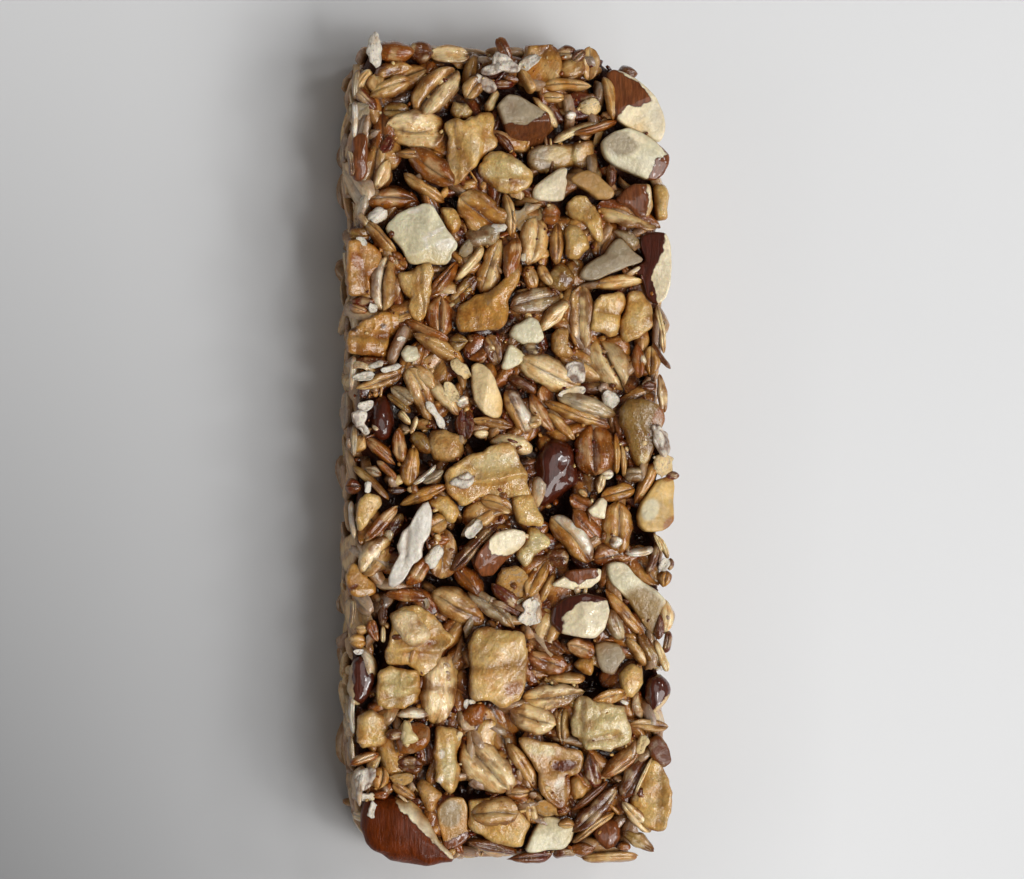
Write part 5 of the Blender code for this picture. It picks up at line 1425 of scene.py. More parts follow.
# How far the syrup stays below the pieces around it, and how far below its own level it may sink.
SYRUP_BELOW = 1.5
SYRUP_DIP = 0.9
# Points round a section of the core: over the top, down each side and along the base.
CORE_POINTS = (104, 12, 28)
# The sizes of the rings that close each end: the smallest, the largest and how many.
CORE_CAPS = (0.1, 0.9, 7)
# No point of the core comes nearer to the floor than this.
CORE_LOWEST = 0.3


def grid_value(grid, x, y):
    """A value of a skyline grid, smooth between the cells' centres."""
    gx = np.clip(x / CELL + GRID_X / 2 - 0.5, 0, GRID_X - 1.001)
    gy = np.clip(y / CELL + GRID_Y / 2 - 0.5, 0, GRID_Y - 1.001)
    ix, iy = gx.astype(int), gy.astype(int)
    fx, fy = gx - ix, gy - iy
    low = grid[ix, iy] * (1 - fx) + grid[ix + 1, iy] * fx
    high = grid[ix, iy + 1] * (1 - fx) + grid[ix + 1, iy + 1] * fx
    return low * (1 - fy) + high * fy


def core_section():
    """Where points round a section of the core lie: across it from -1 to 1, and down from 0 to 1."""
    top, side, base = CORE_POINTS
    across = np.concatenate([
        np.linspace(-1, 1, top, endpoint=False), np.full(side, 1.0),
        np.linspace(1, -1, base, endpoint=False), np.full(side, -1.0)])
    down = np.concatenate([
        np.zeros(top), np.linspace(0, 1, side, endpoint=False),
        np.ones(base), np.linspace(1, 0, side, endpoint=False)])
    return across, down


def core_body(skyline):
    """Syrup and crumbs tinted dark as painted shade: it fills the gaps between the pieces and climbs a
    little up each.
    """
    level = np.maximum(skyline.softened(10) - SYRUP_BELOW, CORE_TOP - SYRUP_DIP)
    stations = np.arange(-HALF_LENGTH + CORE_INSET, HALF_LENGTH - CORE_INSET, CORE_STEP)
    across, down = core_section()
    loops = []
    for y in stations:
        left = np.interp(y, ROWS_Y, LEFT_LINE) + CORE_INSET
        right = np.interp(y, ROWS_Y, RIGHT_LINE) - CORE_INSET
        x = (left + right) / 2 + (right - left) / 2 * across
        z = grid_value(level, x, np.full_like(x, y)) * (1 - down) + CORE_BASE * down
        loops.append(np.stack([x, np.full_like(x, y), z], axis=-1))
    caps = np.linspace(*CORE_CAPS)
    middle_front, middle_back = loops[0].mean(axis=0), loops[-1].mean(axis=0)
    front = [middle_front + (loops[0] - middle_front) * k for k in caps]
    back = [middle_back + (loops[-1] - middle_back) * k for k in caps[::-1]]
    points = np.concatenate([np.concatenate(front + loops + back), [middle_front, middle_back]])
    quads, triangles = ring_faces(len(loops) + 2 * len(caps), len(across))
    lumps = rough_noise(points, 1.6, SEED, 3)
    points = points + 0.3 * lumps[:, None] * [0.8, 0.5, 1.0]
    points = jiggle(points, 2.4, 0.35, SEED + 5)
    points[:, 2] = np.maximum(points[:, 2], CORE_LOWEST)
    tone = rough_noise(points, 1.1, SEED + 3, 3)
    # Dark syrup brown to near-black: partly the syrup's colour, partly painted shade in the gaps.
    colour = mix(linear("syrup"), linear("glaze") * 0.8, ramp(tone, -0.3, 0.8))
    return Body(points, quads, triangles, colour, points.copy(), np.full(len(points), NO_SKIN))


# ---------------------------------------------------------------------------------------------
# Putting everything in place.
# ---------------------------------------------------------------------------------------------

# How many directions an outline is measured in, for a CAD chunk and for a small one.
CAD_TURNS = 92
SMALL_TURNS = 64
# How many rings of points there are on the top and down the side.
CAD_RINGS = (16, 6)
SMALL_RINGS = (10, 5)
# A chunk's top slopes no more than this. Its slope is measured this far around its centre.
STEEPEST = 0.18
PLANE_REACH = 1.2
# The detailed chunk starts this far above the underside of its CAD solid.
CHUNK_LIFT = 0.1


def moved(body, points):
    """The body with its points somewhere else."""
    return body._replace(points=points)


def plane_of(name, center):
    """Height and slopes of a CAD chunk's top at its centre."""
    tree = cad_tree(name)
    samples = []
    for dx in np.linspace(-PLANE_REACH, PLANE_REACH, 5):
        for dy in np.linspace(-PLANE_REACH, PLANE_REACH, 5):
            hit = tree.ray_cast(Vector((center[0] + dx, center[1] + dy, FAR)), Vector((0, 0, -1)))[0]
            if hit:
                samples.append((1.0, dx, dy, hit.z))
    table = np.array(samples)
    height, slope_x, slope_y = np.linalg.lstsq(table[:, :3], table[:, 3], rcond=None)[0]
    slopes = np.clip([slope_x, slope_y], -STEEPEST, STEEPEST)
    return height, float(slopes[0]), float(slopes[1])


def closed_outline(corners):
    """The segments between plan corners, and the middle of the corners."""
    corners = np.array(corners, float)
    return np.stack([corners, np.roll(corners, -1, axis=0)], axis=1), corners.mean(axis=0)


def cad_chunk(name, seed):
    """The detailed body of a CAD chunk: its silhouette and height come from the CAD solid."""
    points, triangles = cad_mesh(name)
    low, high = points.min(axis=0), points.max(axis=0)
    if name in OUTLINES:
        segments, center = closed_outline(OUTLINES[name])
    else:
        edges = np.concatenate([triangles[:, [0, 1]], triangles[:, [1, 2]], triangles[:, [2, 0]]])
        segments = points[edges][:, :, :2]
        center = (low[:2] + high[:2]) / 2
    finish = FINISHES[name]
    radius = smoothed_ring(outline_radius(segments, center, CAD_TURNS), 1)
    plane = plane_of(name, center)
    return chunk_body(center, radius, plane, low[2] + CHUNK_LIFT, finish, seed, CAD_RINGS)


def outline_chunk(corners, top, depth, finish, seed):
    """A small chunk from its plan corners."""
    segments, center = closed_outline(corners)
    radius = smoothed_ring(outline_radius(segments, center, SMALL_TURNS), 2)
    return chunk_body(center, radius, (top, 0.0, 0.0), top - depth, finish, seed, SMALL_RINGS)


# One heap for each kind of small thing.
HEAPS = {name: Heap() for name in (
    "oats", "grains", "flakes", "crumbs", "wall_oats", "wall_grains", "base_oats",
    "small_nuts", "small_fruit")}
# The usual level of the top, and how high the lowest-lying oats on it may reach.
TOP_LEVEL = 14.2
HIGHEST = 15.5
# A raised oat may reach this much higher for each millimetre of lift.
LIFT_HIGHER = 0.15
# An oat rests where this percentage of its points would clear what is below.
REST_PERCENT = 65
# The most an oat bends sideways, as a share of its length, and tilts along and across, in degrees.
TOP_BOW, TOP_PITCH, TOP_ROLL = 0.05, 9, 18
# Narrower oats than this have fewer points.
SLIM_WIDTH = 1.3
# The ends and sides of an oat taper, so the whole is made a little larger than the size given.
LONGER, WIDER = 1.07, 1.14


def heap_for(shape, broad, slim):
    """Which of two heaps a shape goes to."""
    return HEAPS[broad if shape in ("oat", "disc") else slim]


def lay_top_row(row, index, skyline, random):
    """Lay one oat on the heap: it rests on what lies below it, near its usual level."""
    x, y, length, width, heading, look, shape, lift = row
    bow = float(either_way(random, TOP_BOW))
    detail = FINE if width > SLIM_WIDTH else SLIM
    body = oat_body(length * LONGER, width * WIDER, look, shape, SEED + index, detail, bow)
    pitch, roll = either_way(random, TOP_PITCH), either_way(random, TOP_ROLL)
    points = turned(body.points, heading, pitch, roll) + [x, y, 0]
    below = skyline.under(points)
    rest = float(np.percentile(below - points[:, 2], REST_PERCENT))
    level = TOP_LEVEL + lift - points[:, 2].max()
    rise = min(max(rest, level), HIGHEST + LIFT_HIGHER * lift - points[:, 2].max())
    points = points + [0, 0, rise]
    skyline.add(points)
    heap = HEAPS["flakes"] if shape == "flake" else heap_for(shape, "oats", "grains")
    heap.add(moved(body, points))


# How much smaller or larger than its row a member of a mixture may be, and the most it bends.
MIX_SIZES = (0.8, 1.15)
MIX_BOW = 0.06
# The steps from a cell of space to itself and the cells around it.
NEIGHBOURS = [np.array(step) - 1 for step in np.ndindex(3, 3, 3)]

# What the walls and the base are made of: look, shape, length, width, share.
MIX = (
    ("tan", "oat", 6.2, 3.6, 5), ("gold", "oat", 6.0, 3.4, 4), ("amber", "oat", 5.8, 3.4, 4),
    ("cream/tan", "oat", 6.4, 3.6, 3), ("brown", "oat", 5.6, 3.0, 2), ("amber", "grain", 5.0, 1.9, 4),
    ("tan", "grain", 5.4, 1.8, 3), ("gold", "stick", 4.6, 1.2, 2), ("olive", "oat", 5.4, 3.2, 1),
    ("cream", "grain", 4.4, 1.6, 2), ("white", "flake", 3.0, 1.6, 1), ("red", "grain", 3.6, 1.8, 1),
    ("grey", "disc", 5.0, 3.4, 1), ("pulp", "disc", 4.8, 4.2, 2), ("ivory", "disc", 4.4, 3.6, 1),
)

# Places on the top where the heap is open down to the dark core: x, y, reach.
HOLLOWS = (
    (-8.0, -15.8, 1.4), (-1.5, -15.1, 1.1), (-14.4, -4.4, 1.4), (-17.4, -19.2, 1.3), (6.4, -6.3, 1.0),
    (-6.3, -9.9, 1.0), (10.9, 44.0, 1.0), (10.2, -47.4, 1.0), (-3.2, 1.7, 0.8), (10.0, -28.4, 0.9),
    (0.9, 44.0, 0.9), (-5.8, -40.6, 0.9), (-18.0, -28.0, 0.9), (-13.0, 33.6, 0.9), (16.3, -10.5, 0.8),
    (2.4, 35.3, 0.7), (6.4, 30.6, 0.7), (-15.6, 1.8, 1.0), (-16.6, -24.0, 0.9), (13.8, 33.2, 0.7),
)

# The lower layer of the top has broader oats and scraps of fruit between them.
TOP_MIX = (
    ("tan", "oat", 6.2, 3.8, 5), ("gold", "oat", 6.0, 3.6, 4), ("amber", "oat", 5.8, 3.6, 3),
    ("cream/tan", "oat", 6.4, 3.8, 3), ("brown", "oat", 5.4, 3.2, 1), ("pulp", "disc", 5.4, 4.6, 4),
    ("gold", "disc", 5.0, 4.2, 3), ("amber", "grain", 5.0, 2.0, 2), ("tan", "grain", 5.4, 2.0, 2),
    ("white", "flake", 3.0, 1.6, 1), ("red", "grain", 3.6, 1.8, 1),
)


def mixed_oat(random, mixture, seed, detail):
    """A random member of a mixture."""
    shares = np.array([row[-1] for row in mixture], float)
    look, shape, length, width, _ = mixture[random.choice(len(mixture), p=shares / shares.sum())]
    size = random.uniform(*MIX_SIZES)
    bow = float(either_way(random, MIX_BOW))
    return oat_body(length * size, width * size, look, shape, seed, detail, bow), shape


def spread_points(candidates, gap):
    """Pick points at least a gap apart from the candidates, in their order."""
    kept = {}
    chosen = []
    for index, point in enumerate(candidates):
        home = np.floor(point / gap).astype(int)
        near = [kept[key] for key in (tuple(home + step) for step in NEIGHBOURS) if key in kept]
        if not near or min(np.sum((np.concatenate(near) - point) ** 2, axis=1)) > gap * gap:
            chosen.append(index)
            cell = tuple(home)
            kept[cell] = np.vstack([kept[cell], point]) if cell in kept else point[None]
    return chosen


# The lower layer: how many places are tried, the gap between them, and how far out they lie.
LOWER_TRIES = 6000
LOWER_GAP = 1.95
LOWER_X, LOWER_Y = 18.5, 48.5
# Its oats stay this far inside the walls, and their tops lie at this range of heights.
LOWER_INSET = 0.4
LOWER_LEVEL = (12.9, 14.0)
# The most they tilt along and across, in degrees.
LOWER_PITCH, LOWER_ROLL = 14, 25
# They stay this far below the top of any chunk that stands at least this much out of the core.
CHUNK_CLEAR, CHUNK_STANDS = 0.1, 0.5
# What is left of their red, green and blue: warmer with syrup, darker as painted shade low between the
# pieces.
LOWER_STAIN_AND_SHADE = (0.85, 0.80, 0.72)
# Added to points near the base, so that only walls and ends count in depth_inside.
OFF_BASE = (0, 0, 5)


def reaches_hollow(points):
    """Whether any point lies over a hollow."""
    return any(np.hypot(points[:, 0] - x, points[:, 1] - y).min() < reach for x, y, reach in HOLLOWS)


def fill_top(random, skyline):
    """A lower layer of oats, darkened as painted shade and warmed with syrup, which shows between the
    pieces on top.
    """
    across, along = either_way(random, LOWER_X, LOWER_TRIES), either_way(random, LOWER_Y, LOWER_TRIES)
    spots = np.stack([across, along, np.zeros(LOWER_TRIES)], axis=-1)
    chunk_top = skyline.height.copy()
    for number, index in enumerate(spread_points(spots, LOWER_GAP)):
        x, y, _ = spots[index]
        body, shape = mixed_oat(random, TOP_MIX, LOWER_SEED + number, COARSE)
        heading, pitch = random.uniform(0, 360), either_way(random, LOWER_PITCH)
        points = turned(body.points, heading, pitch, either_way(random, LOWER_ROLL)) + [x, y, 0]
        if depth_inside(points + OFF_BASE).min() < LOWER_INSET or reaches_hollow(points):
            continue
        rise = random.uniform(*LOWER_LEVEL) - points[:, 2].max()
        over = chunk_top[skyline.cells(points)]
        covered = over > CORE_TOP + CHUNK_STANDS
        if covered.any():
            rise = min(rise, (over - points[:, 2])[covered].min() - CHUNK_CLEAR)
        points = points + [0, 0, rise]
        skyline.add(points)
        heap_for(shape, "oats", "grains").add(moved(body, points)._replace(tint=body.tint * LOWER_STAIN_AND_SHADE))


# The looks of crumbs, and the share of each.
CRUMB_LOOKS = (
    ("amber", 5), ("tan", 5), ("cream", 4), ("brown", 4), ("white", 2), ("red", 2), ("glaze", 3))


def crumb_shape():
    """The corners and triangles of a small ball."""
    ball = bmesh.new()
    bmesh.ops.create_icosphere(ball, subdivisions=2, radius=1.0)
    ball.verts.ensure_lookup_table()
    points = np.array([v.co[:] for v in ball.verts])
    triangles = np.array([[v.index for v in f.verts] for f in ball.faces])
    ball.free()
    return points, triangles


CRUMBS = 1300
# How many places are tried for each crumb, and how far out they lie.
CRUMB_TRIES = 6
CRUMB_X, CRUMB_Y = 19.0, 49.0
# How likely a crumb sticks on open ground, and how much likelier for each millimetre of gap.
CRUMB_CHANCE, GAP_CHANCE = 0.02, 1.2
# Splinters are this share of the crumbs where the gap is at least this deep.
SPLINTER_SHARE, SPLINTER_GAP = 0.15, 0.15
# Crumbs stay this far inside the walls, and lie no higher than this.
CRUMB_INSET, CRUMB_HIGHEST = 0.8, 15.2
# The smallest and largest radius of a crumb, and the usual growth above the smallest.
CRUMB_SMALL, CRUMB_LARGE, CRUMB_GROWTH = 0.16, 0.65, 0.13


def splinter(random, look, seed):
    """A thin broken piece of oat, turned any way."""
    length = random.uniform(1.0, 2.6)
    body = oat_body(length, length * random.uniform(0.16, 0.34), look, "stick", seed, TINY)
    return moved(body, turned(body.points, random.uniform(0, 360), either_way(random, TOP_ROLL)))


def crumb(random, ball, triangles, look, seed):
    """A lumpy crumb, turned any way."""
    size = min(CRUMB_LARGE, CRUMB_SMALL + random.exponential(CRUMB_GROWTH))
    lumpy = ball * (1 + 0.35 * noise(ball, 0.9, seed))[:, None] * [1.3, 0.9, 0.7]
    points = turned(lumpy * size, *random.uniform(0, 360, 3))
    colour = np.repeat(linear(look)[None], len(points), axis=0)
    colour = colour * (1 + 0.2 * noise(ball, 0.7, seed + 1))[:, None]
    return Body(points, np.zeros((0, 4), int), triangles, colour, points + seed, np.zeros(len(points)))


def scatter_crumbs(random, skyline):
    """Crumbs and splinters stuck in the gaps and along the edges of the pieces."""
    ball, triangles = crumb_shape()
    soft = skyline.softened(8)
    shares = np.array([share for _, share in CRUMB_LOOKS], float)
    placed = 0
    for number in range(CRUMBS * CRUMB_TRIES):
        x, y = either_way(random, CRUMB_X), either_way(random, CRUMB_Y)
        spot = np.array([[x, y, 9.0]])
        seed = CRUMB_SEED + number
        cell = tuple(int(part[0]) for part in skyline.cells(spot))
        sunk = soft[cell] - skyline.height[cell]
        if depth_inside(spot)[0] < CRUMB_INSET or random.uniform() > CRUMB_CHANCE + GAP_CHANCE * sunk:
            continue
        look = CRUMB_LOOKS[random.choice(len(shares), p=shares / shares.sum())][0]
        top = skyline.height[cell]
        if random.uniform() < SPLINTER_SHARE and sunk > SPLINTER_GAP:
            body = splinter(random, look, seed)
        else:
            body = crumb(random, ball, triangles, look, seed)
        points = body.points + [x, y, min(top, CRUMB_HIGHEST) - 0.4 * body.points[:, 2].max()]
        HEAPS["crumbs"].add(moved(body, points))
        placed += 1
        if placed == CRUMBS:
            break


# How far the pressed oats of a wall may stand out of it, and how pale with dust of husk they are.
WALL_PRESS = 0.3
WALL_DUST = 0.3
# How much wider a pressed oat is than a loose one.
PRESSED_OUT = (1.12, 1.12, 1.0)
# The tilt of pressed oats, in degrees, and how far their headings stray from the wall's own.
BASE_TILT, WALL_TILT = 5, 13
WALL_STRAY = 55
# Pressed oats stay this far above the floor, and no point stands further out of a wall than this.
FLOOR_GAP = 0.02
WALL_OUT = 0.8
WALL_TRIES = 5000
# The height of the normal, on the base and on the walls.
BASE_FACING, WALL_FACING = (-1.1, -0.7), (-0.7, 0.45)
# Layers on the walls and the base: which they cover, the gap between oats, and how far out they lie.
LAYERS = (
    ("wall", 2.35, -1.7, -0.9),
    ("wall", 2.25, -0.35, 0.45),
    ("base", 2.7, -0.4, 0.1),
)


def surface_spots(random, points, triangles, low, high, count):
    """Random places on a mesh where the normal's height is between low and high, and the normals."""
    a, b, c = (points[triangles[:, i]] for i in range(3))
    cross = np.cross(b - a, c - a)
    area = np.linalg.norm(cross, axis=1) / 2
    normal = cross / np.maximum(area * 2, 1e-9)[:, None]
    area = area * ((normal[:, 2] > low) & (normal[:, 2] < high))
    chosen = random.choice(len(triangles), count, p=area / area.sum())
    u, v = random.uniform(0, 1, (2, count))
    fold = u + v > 1
    u, v = np.where(fold, 1 - u, u), np.where(fold, 1 - v, v)
    spots = a[chosen] + u[:, None] * (b - a)[chosen] + v[:, None] * (c - a)[chosen]
    return spots, normal[chosen]


def press_oat(random, spot, out, seed, lowest, highest, base):
    """One oat pressed flat against the surface at a spot."""
    body, shape = mixed_oat(random, MIX, seed, PRESSED)
    side = np.cross([0, 0, 1.0], out)
    side = side / np.linalg.norm(side) if np.linalg.norm(side) > 0.2 else np.array([1.0, 0, 0])
    up = np.cross(out, side)
    heading = random.uniform(0, 360) if base else random.normal(0, WALL_STRAY)
    tilt = BASE_TILT if base else WALL_TILT
    local = turned(body.points, heading, either_way(random, tilt), either_way(random, tilt))
    local = local * PRESSED_OUT
    out_by = local[:, 2:] - local[:, 2].max() + random.uniform(lowest, highest)
    out_by = np.where(out_by > 0, WALL_PRESS * np.tanh(out_by / WALL_PRESS), out_by)
    placed = spot + local[:, :1] * side + local[:, 1:2] * up + out_by * out
    placed = placed - [0, 0, max(0.0, placed[:, 2].max() - TOP_LEVEL)]
    lift = 0.0 if base else min(max(0.0, FLOOR_GAP - placed[:, 2].min()), 1.0)
    placed[:, 2] = np.maximum(placed[:, 2] + lift, FLOOR_GAP)
    if depth_inside(placed + OFF_BASE).min() < -WALL_OUT:
        return
    heap = HEAPS["base_oats"] if base else heap_for(shape, "wall_oats", "wall_grains")
    heap.add(moved(body, placed)._replace(tint=mix(body.tint, linear("chalk"), WALL_DUST)))


def fill_walls(random):
    """Pressed oats all over the walls, ends and base, lying flat against the surface."""
    points, triangles = cad_mesh("oat_mass")
    number = 0
    for where, gap, lowest, highest in LAYERS:
        base = where == "base"
        facing_range = BASE_FACING if base else WALL_FACING
        spots, facing = surface_spots(random, points, triangles, *facing_range, WALL_TRIES)
        for index in spread_points(spots, gap):
            spot, out = spots[index], facing[index]
            number += 1
            if MASS_TREE.ray_cast(Vector(spot + out * 0.05), Vector(out))[0] is None:
                press_oat(random, spot, out, WALL_SEED + number, lowest, highest, base)


def stain_and_shade_gaps(body, soft):
    """Syrup stain and painted shade in the gaps: points below their surroundings turn amber, then almost
    black.
    """
    x, y, z = body.points.T
    below = grid_value(soft, x, y) - z
    within = depth_inside(body.points)
    inside = ramp(within, 0.3, 2.4)
    # Amber by depth below the surroundings: partly syrup stain, partly painted shade.
    stain = ramp(below, -0.3, 1.3) * (0.22 + 0.78 * inside)
    colour = body.tint * GAP_STAIN_AND_SHADE ** (1.2 * stain)[:, None]
    # Deeper still: dark syrup colour, then near-black, as painted shade in the deep gaps.
    sunk = np.minimum(ramp(below, 0.4, 2.0), inside)
    colour = mix(colour, linear("syrup"), ramp(sunk, 0.1, 0.6) * 0.8)
    return body._replace(tint=mix(colour, linear("shade_black"), ramp(sunk, 0.4, 0.9) * 0.95))


# ---------------------------------------------------------------------------------------------
# Materials.
# ---------------------------------------------------------------------------------------------

class Tree:
    """A small help for building a node material."""

    def __init__(self, name):
        self.material = bpy.data.materials.new(name)
        self.material.use_nodes = True
        self.tree = self.material.node_tree
        self.shader = self.tree.nodes["Principled BSDF"]

    def link(self, value, socket):
        """Feed a socket with another one or with a plain value."""
        if isinstance(value, bpy.types.NodeSocket):
            self.tree.links.new(value, socket)
        else:
            socket.default_value = value

    def node(self, kind, inputs=(), **settings):
        """Add a node with its settings and inputs."""
        made = self.tree.nodes.new(kind)
        for name, value in settings.items():
            setattr(made, name, value)
        for key, value in dict(inputs).items():
            self.link(value, made.inputs[key])
        return made

    def attribute(self, name, output):
        return self.node("ShaderNodeAttribute", attribute_name=name).outputs[output]

    def noise(self, vector, scale, detail=3.0, stretch=None):
        if stretch:
            vector = self.node("ShaderNodeMapping", {"Vector": vector, "Scale": stretch}).outputs[0]
        made = self.node("ShaderNodeTexNoise", {"Vector": vector, "Scale": scale, "Detail": detail})
        return made.outputs["Fac"]

    def remap(self, value, low, high, to_low=0.0, to_high=1.0):
        made = self.node("ShaderNodeMapRange", {
            "Value": value, "From Min": low, "From Max": high, "To Min": to_low, "To Max": to_high})
        return made.outputs[0]

    def math(self, operation, first, second=0.0):
        made = self.node("ShaderNodeMath", operation=operation)
        self.link(first, made.inputs[0])
        self.link(second, made.inputs[1])
        return made.outputs[0]

    def weighted(self, *parts):
        """The sum of values, each times its weight."""
        total = None
        for value, weight in parts:
            part = value if weight == 1 else self.math("MULTIPLY", value, weight)
            total = part if total is None else self.math("ADD", total, part)
        return total

    def mix(self, share, first, second, blend="MIX"):
        made = self.node("ShaderNodeMix", data_type="RGBA", blend_type=blend)
        self.link(share, made.inputs["Factor"])
        self.link(first, made.inputs["A"])
        self.link(second, made.inputs["B"])
        return made.outputs["Result"]

    def bump(self, height, distance, strength=1.0):
        made = self.node("ShaderNodeBump", {"Height": height, "Distance": distance, "Strength": strength})
        return made.outputs[0]


# The syrup coat, and how far red, green and blue light spread in what is under it, in metres.
COAT_IOR = 1.6
SPECULAR = 0.15
SPREAD = (1.0, 0.5, 0.2)
SPREAD_SCALE = 0.0007
# How high bumps are, in metres: on oats and almonds, on husk and fruit, in fruit's syrup, on the core.
BUMP, ROUGH_BUMP, SYRUP_BUMP, CORE_BUMP = 0.00016, 0.00022, 0.00020, 0.0005
# What stains leave of red, green and blue, and the shade in the hollows of husk.
OAT_STAIN, FRUIT_STAIN = (0.72, 0.50, 0.26, 1.0), (0.74, 0.54, 0.30, 1.0)
HUSK_SHADE = (0.36, 0.33, 0.30, 1.0)


def rgba(name, gain=1.0):
    """A look as a colour for a node's socket."""
    return (*(linear(name) * gain), 1.0)


def surface(tree, colour, roughness, normal, coat, coat_roughness, translucent, coat_normal):
    """Set the shader: a syrup coat over a slightly translucent body."""
    inputs = tree.shader.inputs
    tree.link(colour, inputs["Base Color"])
    tree.link(roughness, inputs["Roughness"])
    tree.link(normal, inputs["Normal"])
    tree.link(coat_normal, inputs["Coat Normal"])
    inputs["Coat Weight"].default_value = coat
    inputs["Coat Roughness"].default_value = coat_roughness
    inputs["Coat IOR"].default_value = COAT_IOR
    inputs["Specular IOR Level"].default_value = SPECULAR
    inputs["Subsurface Weight"].default_value = translucent
    inputs["Subsurface Radius"].default_value = SPREAD
    inputs["Subsurface Scale"].default_value = SPREAD_SCALE
    return tree.material


def shaded(t, colour, value, low, high):
    """The colour, made darker or lighter by a noise value."""
    gain = t.remap(value, 0.3, 0.7, low, high)
    grey = t.node("ShaderNodeCombineColor", {"Red": gain, "Green": gain, "Blue": gain}).outputs[0]
    return t.mix(1.0, colour, grey, "MULTIPLY")


def spotted(t, colour, value, low, high, share, other):
    """The colour, with another over it where a noise value is high; share is the most of the other."""
    return t.mix(t.remap(value, low, high, 0.0, share), colour, other)


def stained(t, colour, value, low, high, share, stain):
    """The colour, multiplied by a stain where a noise value is high."""
    return spotted(t, colour, value, low, high, share, t.mix(1.0, colour, stain, "MULTIPLY"))


def oat_material(name, coat, rough_low, rough_high):
    """Fibrous oat under a sticky gloss: faint lengthwise fibres, amber stains, starch and bran specks."""
    t = Tree(name)
    grain = t.attribute("grain", "Vector")
    fibre = t.noise(grain, 1.0, 5.0, (0.7, 3.2, 2.4))
    lumps = t.noise(grain, 1.3, 4.0)
    fine = t.noise(grain, 4.2, 3.0)
    colour = shaded(t, t.attribute("tint", "Color"), fibre, 0.78, 1.16)
    colour = stained(t, colour, t.noise(grain, 0.75, 6.0), 0.50, 0.60, 0.7, OAT_STAIN)
    colour = spotted(t, colour, fine, 0.62, 0.72, 0.4, rgba("cream"))
    colour = spotted(t, colour, t.noise(grain, 3.4, 2.0), 0.66, 0.74, 0.6, rgba("brown", 0.5))
    normal = t.bump(t.weighted((fibre, 0.7), (fine, 0.4), (lumps, 0.6)), BUMP)
    rough = t.remap(lumps, 0.35, 0.65, rough_low, rough_high)
    gloss = t.bump(t.noise(grain, 1.3, 2.0), BUMP)
    return surface(t, colour, rough, normal, coat, coat_roughness=0.04, translucent=0.3, coat_normal=gloss)


def husk_material(name):
    """Dry white husk: crinkled, with grey-blue hollows and no gloss."""
    t = Tree(name)
    grain = t.attribute("grain", "Vector")
    fibre = t.noise(grain, 1.8, 5.0, (0.8, 1.4, 1.4))
    crinkle = t.noise(grain, 2.2, 4.0)
    colour = shaded(t, t.attribute("tint", "Color"), crinkle, 0.84, 1.04)
    colour = spotted(t, colour, fibre, 0.52, 0.66, 0.5, HUSK_SHADE)
    colour = spotted(t, colour, t.noise(grain, 3.0, 3.0), 0.60, 0.68, 0.5, rgba("brown"))
    colour = spotted(t, colour, t.noise(grain, 0.9, 4.0), 0.58, 0.7, 0.4, rgba("tan"))
    normal = t.bump(t.weighted((fibre, 1), (crinkle, 0.9)), ROUGH_BUMP)
    rough = t.remap(crinkle, 0.3, 0.7, 0.55, 0.8)
    return surface(
        t, colour, rough, normal, coat=0.08, coat_roughness=0.3, translucent=0.15, coat_normal=normal)


def fruit_material(name):
    """Dried fruit: waxy and translucent, grainy, with fine pores and clouds of amber."""
    t = Tree(name)
    grain = t.attribute("grain", "Vector")
    cloud = t.noise(grain, 0.55, 5.0)
    grains = t.noise(grain, 2.3, 4.0)
    fine = t.noise(grain, 5.0, 3.0)
    colour = shaded(t, t.attribute("tint", "Color"), t.noise(grain, 1.4, 5.0), 0.84, 1.12)
    colour = shaded(t, colour, t.noise(grain, 3.6, 4.0), 0.86, 1.12)
    colour = stained(t, colour, cloud, 0.50, 0.66, 0.75, FRUIT_STAIN)
    colour = spotted(t, colour, cloud, 0.46, 0.32, 0.35, rgba("grey", 1.2))
    colour = spotted(t, colour, fine, 0.66, 0.76, 0.45, rgba("brown"))
    normal = t.bump(t.weighted((grains, 1), (fine, 0.25)), ROUGH_BUMP)
    rough = t.remap(grains, 0.35, 0.65, 0.3, 0.55)
    gloss = t.bump(t.weighted((t.noise(grain, 1.0, 3.0), 1), (grains, 0.3)), SYRUP_BUMP)
    return surface(
        t, colour, rough, normal, coat=0.9, coat_roughness=0.05, translucent=0.35, coat_normal=gloss)


